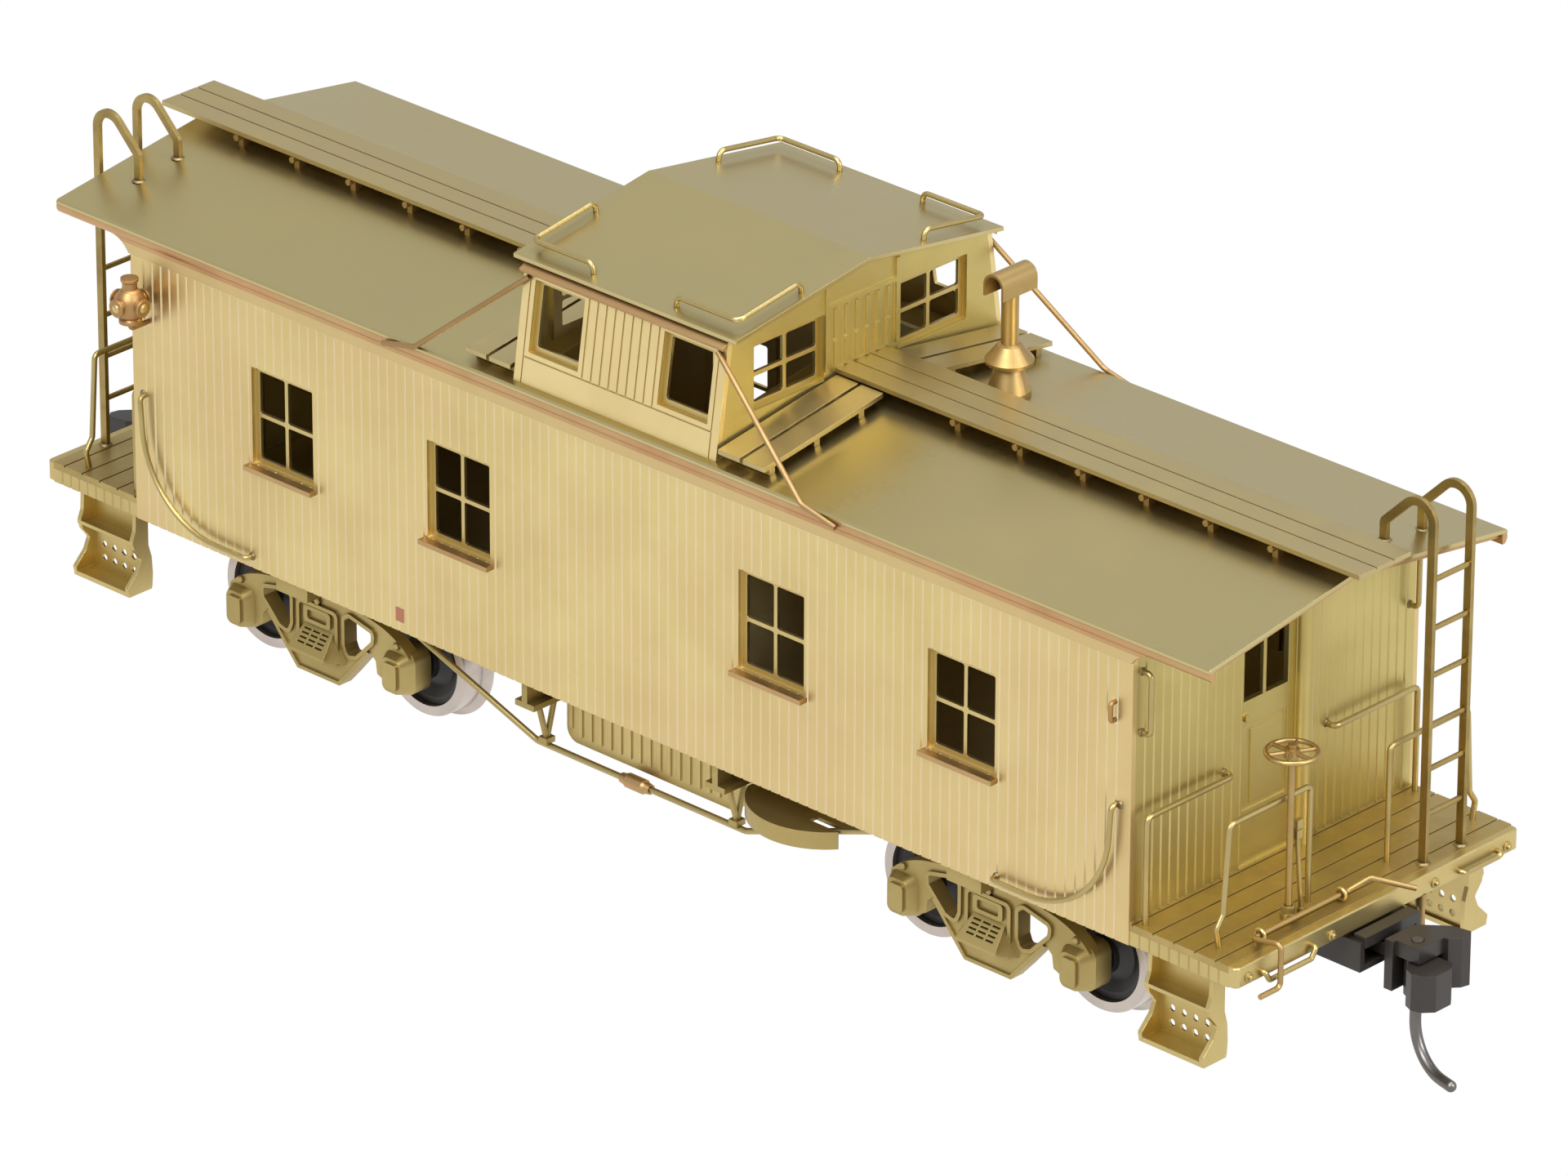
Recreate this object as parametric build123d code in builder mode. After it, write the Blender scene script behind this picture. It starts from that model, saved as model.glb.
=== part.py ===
from build123d import *
from math import cos, hypot, pi, sin
import os

# HO scale (1:87) wood-sided caboose in soldered brass, on two sprung-knuckle-coupled trucks.
# Frame: +Z up, X along the car with the front end at +X, Y across it.
# The origin is the middle of the car at the height of the lowest wheel flange.
# Heights written as RAIL + h are h above the rail head, as modellers quote them.

# ---- wheels and track ----
FLANGE_DEPTH = 0.64
TREAD_RADIUS = 4.81
WHEEL_WIDTH = 2.8
FLANGE_WIDTH = 0.75
WHEEL_BACK = 7.2
PLATE_RADIUS = 3.9
RAIL = FLANGE_DEPTH
AXLE_HEIGHT = RAIL + TREAD_RADIUS
AXLE_RADIUS = 0.9
JOURNAL_RADIUS = 0.45
JOURNAL_CLEARANCE = 0.07
AXLE_END_PLAY = 0.15

# ---- car body ----
BODY_LENGTH = 109.0
BODY_WIDTH = 33.0
SIDE_BOTTOM = RAIL + 11.1
SHEET = 0.5
GROOVE_PITCH = 1.0
GROOVE_WIDTH = 0.22
GROOVE_DEPTH = 0.12
CORNER_BOARD = 0.9
FLOOR_THICKNESS = 0.6
FLOOR_TOP = RAIL + 12.9

# ---- side windows ----
WINDOW_STARTS = (13.6, 33.6)
WINDOW_WIDTH = 7.0
WINDOW_BOTTOM = RAIL + 20.5
WINDOW_HEIGHT = 8.6
SASH_SHEET = 0.3
SASH_LAP = 0.5
SASH_FRAME = 0.45
MUNTIN = 0.35
SILL_HEIGHT = 0.4
SILL_REACH = 0.8
SILL_LAP = 0.35

# ---- main roof ----
EAVE_OVERHANG = 0.56
END_OVERHANG = 8.1
ROOF_EDGE = RAIL + 37.2
ROOF_RISE = 2.5
ROOF_SHEET = 0.35
ROOF_HATCH = (14.0, 24.0)
MOULDING_HEIGHT = 0.8
LETTERBOARD_DEPTH = 1.2
LETTERBOARD_SHEET = 0.25
EAVE_BRACKET = 2.1
END_BOARD_DEPTH = 0.4
END_BOARD_SHEET = 0.5

# ---- running boards ----
BOARD_WIDTH = 5.9
BOARD_TOP = RAIL + 40.9
BOARD_SHEET = 0.4
BOARD_END_OVERHANG = 2.3
SADDLE_PITCH = 6.52
SADDLE_WIDTH = 0.55
WALK_PLANK = 2.3
WALK_GAP = 0.35
WALK_LENGTH = 16.4

# ---- cupola ----
CUPOLA_LENGTH = 22.0
CUPOLA_TOP = RAIL + 46.7
CUPOLA_LEAN = 1.4
CUPOLA_END_OVERHANG = 1.05
CUPOLA_ROOF_LENGTH = CUPOLA_LENGTH + 2 * CUPOLA_END_OVERHANG
CUPOLA_ROOF_OVERHANG = 0.2
CUPOLA_ROOF_EDGE = RAIL + 47.46
CUPOLA_ROOF_RISE = 2.25
CUPOLA_SIDE_WINDOW = (4.3, 9.7)
CUPOLA_SIDE_SILL = RAIL + 39.95
CUPOLA_SIDE_HEAD = RAIL + 45.9
CUPOLA_END_WINDOW = (4.2, 12.1)
CUPOLA_END_SILL = RAIL + 40.2
CUPOLA_END_HEAD = RAIL + 45.8
LOUVRE_HALF_WIDTH = 3.6
VISOR_REACH = 0.7

# ---- smoke jack ----
JACK_X = 20.8
JACK_Y = 6.4
JACK_RADIUS = 0.7
JACK_SKIRT_RADIUS = 1.97
JACK_TOP = RAIL + 49.45
CAP_LENGTH = 3.95
CAP_WIDTH = 2.1
CAP_SHEET = 0.22

# ---- end platforms ----
PLATFORM_LENGTH = 10.8
DECK_SETBACK = 0.1
PLATFORM_WIDTH = BODY_WIDTH - 2 * DECK_SETBACK
DECK_TOP = RAIL + 12.9
PLANK_PITCH = 2.1
BEAM_SHEET = 0.8
STEP_OUTER = 7.8
STEP_INNER = 1.2
STEP_SHEET = 0.4
STEP_BOTTOM = RAIL + 3.4
STEP_MIDDLE = RAIL + 7.9

# ---- wire fittings ----
RAIL_WIRE = 0.48
GRAB_WIRE = 0.44
BEND = 0.7
STAND_OFF = 0.65

# ---- ladders ----
LADDER_STILE = (0.7, 0.4)
LADDER_Y = (6.7, 11.1)
LADDER_TOP = RAIL + 43.3
RUNG_HEIGHTS = (17.0, 20.8, 24.5, 28.7, 32.7, 36.8)
RUNG_WIRE = 0.45

# ---- hand brake ----
STAFF_X = 7.95
STAFF_Y = -7.3
STAFF_WIRE = 0.54
BRAKE_WHEEL_HEIGHT = RAIL + 26.9
BRAKE_WHEEL_RADIUS = 2.2
BRAKE_SPOKES = 6
STAFF_CLEARANCE = 0.06

# ---- trucks ----
TRUCK_CENTRE = 37.0
WHEELBASE = 18.1
FRAME_INNER = 11.7
FRAME_SHEET = 1.2
BOX_FACE = 13.65
BOLSTER_TOP = RAIL + 7.9
BOLSTER_DEPTH = 1.3
BOLSTER_WIDTH = 4.6
BOLSTER_FIT = 0.02
SCREW_RADIUS = 0.7
SWIVEL_CLEARANCE = 0.06

# ---- underframe ----
CENTRE_SILL_WIDTH = 5.0
CENTRE_SILL_DEPTH = 2.2
NEEDLE_BEAM_X = 10.5
NEEDLE_BEAM_BOTTOM = RAIL + 8.6
TRUSS_ROD_Y = 13.4
TRUSS_ROD_Z = RAIL + 4.5
TRUSS_WIRE = 0.52

# ---- couplers ----
BOX_START = 4.0
BOX_END = 12.0
BOX_HALF_WIDTH = 3.5
BOX_Z = (RAIL + 8.2, RAIL + 10.7)
BOX_WALL = 0.5
COUPLER_PIVOT = 6.3
HEAD_REACH = 14.7
PIVOT_POST = 0.8
PIN_RADIUS = 0.46

# ---- derived sizes ----
HALF_LENGTH = BODY_LENGTH / 2
HALF_WIDTH = BODY_WIDTH / 2
ROOF_HALF_WIDTH = HALF_WIDTH + EAVE_OVERHANG
ROOF_HALF_LENGTH = HALF_LENGTH + END_OVERHANG
DECK_END = HALF_LENGTH + PLATFORM_LENGTH
CUPOLA_HALF = CUPOLA_LENGTH / 2
FLOOR_BOTTOM = FLOOR_TOP - FLOOR_THICKNESS
WHEEL_FACE = WHEEL_BACK + WHEEL_WIDTH


def roof_top(y):
    """Height of the main roof's upper face at a distance y from the centre line."""
    return ROOF_EDGE + ROOF_RISE * (1 - abs(y) / ROOF_HALF_WIDTH)


def roof_under(y):
    """Height of the main roof's lower face at a distance y from the centre line."""
    return roof_top(y) - ROOF_SHEET


CUPOLA_BASE_HALF = HALF_WIDTH - 0.15
CUPOLA_TOP_HALF = HALF_WIDTH - CUPOLA_LEAN - 0.15
CUPOLA_ROOF_HALF = CUPOLA_TOP_HALF + CUPOLA_ROOF_OVERHANG
CUPOLA_BASE = roof_top(CUPOLA_BASE_HALF)
CUPOLA_ROOF_SHEET = 0.35


def cupola_roof_under(y):
    """Height of the cupola roof's lower face at a distance y from the centre line."""
    return CUPOLA_ROOF_EDGE - CUPOLA_ROOF_SHEET + CUPOLA_ROOF_RISE * (1 - abs(y) / CUPOLA_ROOF_HALF)


def cupola_side(z):
    """Distance of the cupola's leaning side from the centre line at a height z."""
    share = (z - CUPOLA_BASE) / (CUPOLA_TOP - CUPOLA_BASE)
    return CUPOLA_BASE_HALF - CUPOLA_LEAN * share


# ---- shape helpers ----
def block(x, y, z, mode=Mode.ADD):
    """Add or cut the box that fills a (low, high) pair of limits on each axis."""
    limits = (x, y, z)
    with Locations(Vector(*[(low + high) / 2 for low, high in limits])):
        Box(*[high - low for low, high in limits], mode=mode)


def plate(plane, outline, depth, mode=Mode.ADD):
    """Add or cut a straight-sided outline, drawn on a plane, to a depth along its normal."""
    with BuildSketch(plane) as face:
        with BuildLine():
            Polyline(*outline, close=True)
        make_face()
    extrude(face.sketch, amount=depth, mode=mode)


def rod(start, end, radius, mode=Mode.ADD):
    """Add or cut a straight round bar between two points."""
    plane = Plane(origin=start, z_dir=Vector(*end) - Vector(*start))
    with BuildSketch(plane) as face:
        Circle(radius)
    extrude(face.sketch, amount=(Vector(*end) - Vector(*start)).length, mode=mode)


def bent_wire(points, diameter, bend=BEND):
    """Return a round wire that runs through the points with the given centre-line bends."""
    with BuildPart() as wire:
        with BuildLine() as route:
            FilletPolyline(*points, radius=bend)
        with BuildSketch(Plane(origin=route.line @ 0, z_dir=route.line % 0)):
            Circle(diameter / 2)
        sweep()
    return wire.part


def mirrored(shapes, plane):
    """Return the shapes with their mirror images added."""
    return list(shapes) + [mirror(shape, about=plane) for shape in shapes]


def both_ends(shapes):
    """Return the shapes with copies turned half a turn about the car's vertical axis."""
    return list(shapes) + [shape.rotate(Axis.Z, 180) for shape in shapes]


def gather(name, shapes):
    """Return one labelled sub-part that holds several separate solids."""
    with BuildPart() as group:
        for shape in shapes:
            add(shape)
    group.part.label = name
    return group.part


def save(name, shape):
    """Write one sub-part as parts/name.step."""
    shape.label = name
    export_step(shape, f"parts/{name}.step")


def grooved_strip(half_run, face, back, height, base):
    """Return a board-and-groove sheet along X, from base upwards, outer face at -face."""
    count = int((half_run - CORNER_BOARD) / GROOVE_PITCH)
    outline = [(-half_run, -back), (-half_run, -face)]
    for k in range(-count, count + 1):
        x = k * GROOVE_PITCH
        outline += [(x - GROOVE_WIDTH / 2, -face), (x, -face + GROOVE_DEPTH), (x + GROOVE_WIDTH / 2, -face)]
    outline += [(half_run, -face), (half_run, -back)]
    with BuildPart() as strip:
        plate(Plane.XY.offset(base), outline, height)
    return strip.part


os.makedirs("parts", exist_ok=True)

# ======================= body shell =======================
SIDE_TOP = roof_under(HALF_WIDTH)
SIDE_BACK = HALF_WIDTH - SHEET
window_spans = [(x, x + WINDOW_WIDTH) for x in WINDOW_STARTS]
window_spans += [(-high, -low) for low, high in window_spans]
window_z = (WINDOW_BOTTOM, WINDOW_BOTTOM + WINDOW_HEIGHT)

siding = grooved_strip(HALF_LENGTH, HALF_WIDTH, SIDE_BACK, SIDE_TOP - SIDE_BOTTOM, SIDE_BOTTOM)
with BuildPart() as side_wall_right:
    add(siding)
    for opening in window_spans:
        block(opening, (-HALF_WIDTH, -SIDE_BACK), window_z, Mode.SUBTRACT)
save("side_wall_right", side_wall_right.part)

with BuildPart() as side_wall_left:
    add(mirror(side_wall_right.part, about=Plane.XZ))
save("side_wall_left", side_wall_left.part)

# The end walls stand between the side walls and follow the roof's underside.
DOOR_Y = (-3.9, 2.2)
DOOR_HEAD = RAIL + 32.6
end_siding = grooved_strip(SIDE_BACK, HALF_LENGTH, HALF_LENGTH - SHEET, roof_under(0) - SIDE_BOTTOM,
                           SIDE_BOTTOM).rotate(Axis.Z, 90)
with BuildPart() as end_wall:
    add(end_siding)
    plate(Plane.YZ.offset(HALF_LENGTH - SHEET - 1),
          [(-SIDE_BACK - 1, roof_under(SIDE_BACK + 1)), (0, roof_under(0)),
           (SIDE_BACK + 1, roof_under(SIDE_BACK + 1)), (SIDE_BACK + 1, roof_under(0) + 1),
           (-SIDE_BACK - 1, roof_under(0) + 1)], SHEET + 2, Mode.SUBTRACT)
    block((HALF_LENGTH - 1, HALF_LENGTH + 1), DOOR_Y, (DECK_TOP, DOOR_HEAD), Mode.SUBTRACT)
    block((HALF_LENGTH - 1, HALF_LENGTH + 1), (-CENTRE_SILL_WIDTH / 2, CENTRE_SILL_WIDTH / 2),
          (SIDE_BOTTOM - 1, FLOOR_BOTTOM), Mode.SUBTRACT)
save("end_walls", gather("end_walls", both_ends([end_wall.part])))

# Each door is a framed sheet behind the opening, with a two-light window and a raised panel.
DOOR_SHEET = 0.35
DOOR_LAP = 0.5
DOOR_STILE = 0.5
DOOR_RAIL = RAIL + 25.3
door_face = HALF_LENGTH - SHEET
door_middle = (DOOR_Y[0] + DOOR_Y[1]) / 2
with BuildPart() as end_door:
    block((door_face - DOOR_SHEET, door_face), (DOOR_Y[0] - DOOR_LAP, DOOR_Y[1] + DOOR_LAP),
          (DECK_TOP, DOOR_HEAD + DOOR_LAP))
    block((door_face - 1, door_face + 1), (DOOR_Y[0] + DOOR_STILE, DOOR_Y[1] - DOOR_STILE),
          (DOOR_RAIL + 1.5, DOOR_HEAD - 0.8), Mode.SUBTRACT)
    block((door_face - DOOR_SHEET, door_face), (door_middle - MUNTIN / 2, door_middle + MUNTIN / 2),
          (DOOR_RAIL + 1.4, DOOR_HEAD - 0.7))
    for low, high in ((DOOR_Y[0], DOOR_Y[0] + DOOR_STILE), (DOOR_Y[1] - DOOR_STILE, DOOR_Y[1])):
        block((door_face, door_face + 0.15), (low, high), (DECK_TOP, DOOR_HEAD))
    for low, high in ((DECK_TOP, DECK_TOP + 4.6), (DOOR_RAIL - 0.6, DOOR_RAIL + 1.5),
                      (DOOR_HEAD - 0.8, DOOR_HEAD)):
        block((door_face, door_face + 0.15), DOOR_Y, (low, high))
    block((door_face, door_face + 0.15), (DOOR_Y[0] + 1.4, DOOR_Y[1] - 1.0),
          (DECK_TOP + 5.1, DOOR_RAIL - 1.1))
    rod((door_face + 0.15, DOOR_Y[0] + 0.6, DOOR_RAIL + 0.2),
        (door_face + 0.6, DOOR_Y[0] + 0.6, DOOR_RAIL + 0.2), 0.3)
save("end_doors", gather("end_doors", both_ends([end_door.part])))

# A half-round smoke flue stands against the wall beside each door.
FLUE_Y = 3.15
FLUE_RADIUS = 0.85
flue_top = roof_under(FLUE_Y + FLUE_RADIUS)
with BuildPart() as flue:
    with BuildSketch(Plane.XY.offset(DECK_TOP)):
        with Locations((HALF_LENGTH, FLUE_Y)):
            Circle(FLUE_RADIUS)
        with Locations((HALF_LENGTH - FLUE_RADIUS, FLUE_Y)):
            Rectangle(2 * FLUE_RADIUS, 2 * FLUE_RADIUS, mode=Mode.SUBTRACT)
    extrude(amount=flue_top - DECK_TOP)
save("end_flues", gather("end_flues", both_ends([flue.part])))


def sash(width, height, panes_across, panes_up, sheet=SASH_SHEET):
    """Return a window sash standing in the XZ plane: face at y = 0, back at +sheet."""
    light_x = (width - 2 * SASH_FRAME - (panes_across - 1) * MUNTIN) / panes_across
    light_z = (height - 2 * SASH_FRAME - (panes_up - 1) * MUNTIN) / panes_up
    with BuildPart() as frame:
        block((-width / 2 - SASH_LAP, width / 2 + SASH_LAP), (0, sheet), (-SASH_LAP, height + SASH_LAP))
        with BuildSketch(Plane.XZ) as lights:
            with Locations((0, height / 2)):
                with GridLocations(light_x + MUNTIN, light_z + MUNTIN, panes_across, panes_up):
                    RectangleRounded(light_x, light_z, 0.2)
        extrude(lights.sketch, amount=-sheet, mode=Mode.SUBTRACT)
    return frame.part


side_sash = sash(WINDOW_WIDTH, WINDOW_HEIGHT, 2, 2)
right_sashes = [side_sash.moved(Location(((low + high) / 2, -SIDE_BACK, WINDOW_BOTTOM)))
                for low, high in window_spans]
save("window_sashes", gather("window_sashes", mirrored(right_sashes, Plane.XZ)))

with BuildPart() as right_sills:
    for low, high in window_spans:
        block((low - SILL_LAP, high + SILL_LAP), (-HALF_WIDTH - SILL_REACH, -HALF_WIDTH),
              (WINDOW_BOTTOM - SILL_HEIGHT, WINDOW_BOTTOM))
save("window_sills", gather("window_sills", mirrored([right_sills.part], Plane.XZ)))

# ======================= main roof =======================
hatch_x = ROOF_HATCH[0] / 2
hatch_y = ROOF_HATCH[1] / 2
with BuildPart() as main_roof:
    plate(Plane.YZ.offset(-ROOF_HALF_LENGTH),
          [(-ROOF_HALF_WIDTH, roof_under(ROOF_HALF_WIDTH)), (-ROOF_HALF_WIDTH, ROOF_EDGE - 0.14),
           (-ROOF_HALF_WIDTH + 0.14, roof_top(ROOF_HALF_WIDTH - 0.14)),
           (0, roof_top(0)), (ROOF_HALF_WIDTH - 0.14, roof_top(ROOF_HALF_WIDTH - 0.14)),
           (ROOF_HALF_WIDTH, ROOF_EDGE - 0.14),
           (ROOF_HALF_WIDTH, roof_under(ROOF_HALF_WIDTH)), (0, roof_under(0))],
          2 * ROOF_HALF_LENGTH)
    block((-hatch_x, hatch_x), (-hatch_y, hatch_y), (roof_under(hatch_y) - 1, roof_top(0) + 1),
          Mode.SUBTRACT)
save("main_roof", main_roof.part)

# Eave boards: a rounded moulding under the sheet's edge and a letterboard that ends in a cove.
eave_under = roof_under(ROOF_HALF_WIDTH)
letterboard_top = eave_under - MOULDING_HEIGHT
letterboard_bottom = letterboard_top - LETTERBOARD_DEPTH
letterboard_end = HALF_LENGTH + EAVE_BRACKET
with BuildPart() as right_eave:
    with BuildSketch(Plane.YZ.offset(-ROOF_HALF_LENGTH)) as moulding:
        with BuildLine():
            Polyline((-ROOF_HALF_WIDTH + 0.05, eave_under), (-HALF_WIDTH, roof_under(HALF_WIDTH)),
                     (-HALF_WIDTH, letterboard_top), (-HALF_WIDTH - LETTERBOARD_SHEET, letterboard_top))
            ThreePointArc((-HALF_WIDTH - LETTERBOARD_SHEET, letterboard_top),
                          (-ROOF_HALF_WIDTH + 0.02, letterboard_top + 0.55 * MOULDING_HEIGHT),
                          (-ROOF_HALF_WIDTH + 0.05, eave_under))
        make_face()
    extrude(amount=2 * ROOF_HALF_LENGTH)
    with BuildSketch(Plane.XZ.offset(HALF_WIDTH)) as letterboard:
        with BuildLine():
            Polyline((letterboard_end, letterboard_top), (-letterboard_end, letterboard_top))
            RadiusArc((-letterboard_end, letterboard_top), (-HALF_LENGTH, letterboard_bottom),
                      EAVE_BRACKET + 0.4)
            Line((-HALF_LENGTH, letterboard_bottom), (HALF_LENGTH, letterboard_bottom))
            RadiusArc((HALF_LENGTH, letterboard_bottom), (letterboard_end, letterboard_top),
                      EAVE_BRACKET + 0.4)
        make_face()
    extrude(amount=LETTERBOARD_SHEET)
end_board_y = HALF_WIDTH - 0.05
with BuildPart() as end_board:
    plate(Plane.YZ.offset(ROOF_HALF_LENGTH - END_BOARD_SHEET - 0.3),
          [(-end_board_y, roof_under(end_board_y)), (0, roof_under(0)),
           (end_board_y, roof_under(end_board_y)), (end_board_y, roof_under(end_board_y) - END_BOARD_DEPTH),
           (0, roof_under(0) - END_BOARD_DEPTH),
           (-end_board_y, roof_under(end_board_y) - END_BOARD_DEPTH)], END_BOARD_SHEET)
save("eave_boards", gather("eave_boards", mirrored([right_eave.part], Plane.XZ) + both_ends([end_board.part])))

# ======================= running boards =======================
BOARD_START = CUPOLA_HALF
BOARD_FINISH = ROOF_HALF_LENGTH + BOARD_END_OVERHANG
half_board = BOARD_WIDTH / 2
board_under = BOARD_TOP - BOARD_SHEET
with BuildPart() as running_board:
    block((BOARD_START, BOARD_FINISH), (-half_board, half_board), (board_under, BOARD_TOP))
    for joint in (-BOARD_WIDTH / 6, BOARD_WIDTH / 6):
        block((BOARD_START, BOARD_FINISH), (joint - 0.07, joint + 0.07), (BOARD_TOP - 0.12, BOARD_TOP),
              Mode.SUBTRACT)
save("running_boards", gather("running_boards", both_ends([running_board.part])))

# Saddles carry the board above the ridge; a round bolt end shows at each side.
SADDLE_FIRST = 12.5
saddle_count = int((ROOF_HALF_LENGTH - BOARD_START - SADDLE_FIRST) / SADDLE_PITCH) + 1
saddle_half = half_board - 0.5
with BuildPart() as front_saddles:
    for k in range(saddle_count):
        x = BOARD_START + SADDLE_FIRST + k * SADDLE_PITCH
        plate(Plane.YZ.offset(x - SADDLE_WIDTH / 2),
              [(-saddle_half, roof_top(saddle_half)), (0, roof_top(0)), (saddle_half, roof_top(saddle_half)),
               (saddle_half, board_under), (-saddle_half, board_under)], SADDLE_WIDTH)
        rod((x, -half_board - 0.1, board_under - 0.28), (x, half_board + 0.1, board_under - 0.28), 0.27)
save("board_saddles", gather("board_saddles", both_ends([front_saddles.part])))

# Two planks lie across the roof at each end of the cupola, sloping with the roof.
walk_rise = BOARD_TOP - roof_top(0)
walk_planks = []
for k in range(2):
    low = CUPOLA_HALF + 0.3 + k * (WALK_PLANK + WALK_GAP)
    with BuildPart() as walk_plank:
        plate(Plane.YZ.offset(low),
              [(-half_board - 0.15, roof_top(half_board + 0.15) + walk_rise - BOARD_SHEET),
               (-half_board - 0.15, roof_top(half_board + 0.15) + walk_rise),
               (-WALK_LENGTH, roof_top(WALK_LENGTH) + walk_rise),
               (-WALK_LENGTH, roof_top(WALK_LENGTH) + walk_rise - BOARD_SHEET)], WALK_PLANK)
    walk_planks.append(walk_plank.part)
WALK_LEGS = (5.2, 10.2, 15.2)
with BuildPart() as walk_legs:
    for y in WALK_LEGS:
        block((CUPOLA_HALF + 0.6, CUPOLA_HALF + 2 * WALK_PLANK + WALK_GAP), (-y - 0.3, -y + 0.3),
              (roof_top(y), roof_top(y) + 0.9))
        plate(Plane.YZ.offset(CUPOLA_HALF + 0.6),
              [(-y - 0.3, roof_top(y) - 0.1), (-y + 0.3, roof_top(y) - 0.1), (-y + 0.3, roof_top(y - 0.3)),
               (-y - 0.3, roof_top(y + 0.3))], 2 * WALK_PLANK + WALK_GAP - 0.6, Mode.SUBTRACT)
        plate(Plane.YZ.offset(CUPOLA_HALF + 0.6),
              [(-y - 0.3, roof_top(y + 0.3) + walk_rise - BOARD_SHEET),
               (-y + 0.3, roof_top(y - 0.3) + walk_rise - BOARD_SHEET),
               (-y + 0.3, roof_top(y) + 2), (-y - 0.3, roof_top(y) + 2)],
              2 * WALK_PLANK + WALK_GAP - 0.6, Mode.SUBTRACT)
front_walks = mirrored(walk_planks + [walk_legs.part], Plane.XZ)
save("lateral_walks", gather("lateral_walks", both_ends(front_walks)))

# ======================= cupola =======================
cupola_height = CUPOLA_TOP - CUPOLA_BASE
lean = hypot(CUPOLA_LEAN, cupola_height)
lean_cos = cupola_height / lean
lean_sin = CUPOLA_LEAN / lean
side_plane = Plane(origin=(0, -CUPOLA_BASE_HALF, CUPOLA_BASE), x_dir=(1, 0, 0), z_dir=(0, -lean_cos, lean_sin))
inner_shift = SHEET / lean_cos
BASE_BOARD = RAIL + 39.5
CUPOLA_POST = 0.8


def up_side(z):
    """Distance up the leaning side panel of a height z."""
    return (z - CUPOLA_BASE) / lean_cos


with BuildPart() as cupola_side_right:
    with BuildSketch(side_plane) as panel:
        with Locations((0, lean / 2)):
            Rectangle(CUPOLA_LENGTH, lean + 2)
        for sign in (-1, 1):
            middle = sign * sum(CUPOLA_SIDE_WINDOW) / 2
            with Locations((middle, up_side((CUPOLA_SIDE_SILL + CUPOLA_SIDE_HEAD) / 2))):
                Rectangle(CUPOLA_SIDE_WINDOW[1] - CUPOLA_SIDE_WINDOW[0],
                          up_side(CUPOLA_SIDE_HEAD) - up_side(CUPOLA_SIDE_SILL), mode=Mode.SUBTRACT)
    extrude(amount=-SHEET)
    with BuildSketch(side_plane) as scribing:
        with Locations((0, up_side((BASE_BOARD + CUPOLA_TOP) / 2))):
            with GridLocations(0.95, 1, 9, 1):
                Rectangle(0.16, up_side(CUPOLA_TOP) - up_side(BASE_BOARD))
        with Locations((0, up_side(BASE_BOARD))):
            Rectangle(CUPOLA_LENGTH - 2 * CUPOLA_POST, 0.12)
        for x in (CUPOLA_POST - CUPOLA_HALF, CUPOLA_HALF - CUPOLA_POST):
            with Locations((x, up_side((CUPOLA_BASE + CUPOLA_TOP) / 2))):
                Rectangle(0.12, lean)
    extrude(scribing.sketch, amount=-GROOVE_DEPTH, mode=Mode.SUBTRACT)
    plate(Plane.YZ.offset(-CUPOLA_HALF - 1),
          [(-HALF_WIDTH - 2, roof_top(HALF_WIDTH + 2)), (0, roof_top(0)), (0, roof_top(0) - 9),
           (-HALF_WIDTH - 2, roof_top(0) - 9)], CUPOLA_LENGTH + 2, Mode.SUBTRACT)
    plate(Plane.YZ.offset(-CUPOLA_HALF - 1),
          [(-HALF_WIDTH, cupola_roof_under(HALF_WIDTH)), (0, cupola_roof_under(0)),
           (0, cupola_roof_under(0) + 5), (-HALF_WIDTH, cupola_roof_under(0) + 5)],
          CUPOLA_LENGTH + 2, Mode.SUBTRACT)
save("cupola_sides", gather("cupola_sides", mirrored([cupola_side_right.part], Plane.XZ)))

# The end panels stand between the sides; a framed bank of battens fills the middle.
END_PANEL_FIT = 0.01
end_foot = cupola_side(roof_top(SIDE_BACK)) - inner_shift - END_PANEL_FIT
end_head = cupola_side(cupola_roof_under(CUPOLA_TOP_HALF - SHEET)) - inner_shift - END_PANEL_FIT
cupola_face = CUPOLA_HALF - SHEET
end_window_middle = sum(CUPOLA_END_WINDOW) / 2
end_window_width = CUPOLA_END_WINDOW[1] - CUPOLA_END_WINDOW[0]
batten_rows = ((BOARD_TOP + 0.1, RAIL + 43.3), (RAIL + 43.6, RAIL + 46.0))
BATTENS = 6
with BuildPart() as cupola_end:
    plate(Plane.YZ.offset(cupola_face),
          [(-end_foot, roof_top(end_foot)), (0, roof_top(0)), (end_foot, roof_top(end_foot)),
           (end_head, cupola_roof_under(end_head)), (0, cupola_roof_under(0)),
           (-end_head, cupola_roof_under(end_head))], SHEET)
    for low, high in (CUPOLA_END_WINDOW, (-CUPOLA_END_WINDOW[1], -CUPOLA_END_WINDOW[0])):
        block((cupola_face - 1, CUPOLA_HALF + 1), (low, high), (CUPOLA_END_SILL, CUPOLA_END_HEAD),
              Mode.SUBTRACT)
    for low, high in batten_rows:
        for k in range(BATTENS):
            y = (k - (BATTENS - 1) / 2) * 2 * LOUVRE_HALF_WIDTH / BATTENS
            block((CUPOLA_HALF, CUPOLA_HALF + 0.16), (y - 0.2, y + 0.2), (low, high))
    for y in (-LOUVRE_HALF_WIDTH - 0.4, LOUVRE_HALF_WIDTH + 0.4):
        block((CUPOLA_HALF, CUPOLA_HALF + 0.22), (y - 0.22, y + 0.22),
              (BOARD_TOP + 0.02, cupola_roof_under(y) - 0.6))
    block((CUPOLA_HALF, CUPOLA_HALF + 0.22), (-LOUVRE_HALF_WIDTH - 0.5, LOUVRE_HALF_WIDTH + 0.5),
          (batten_rows[1][1] + 0.15, batten_rows[1][1] + 0.5))
save("cupola_ends", gather("cupola_ends", both_ends([cupola_end.part])))

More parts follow.
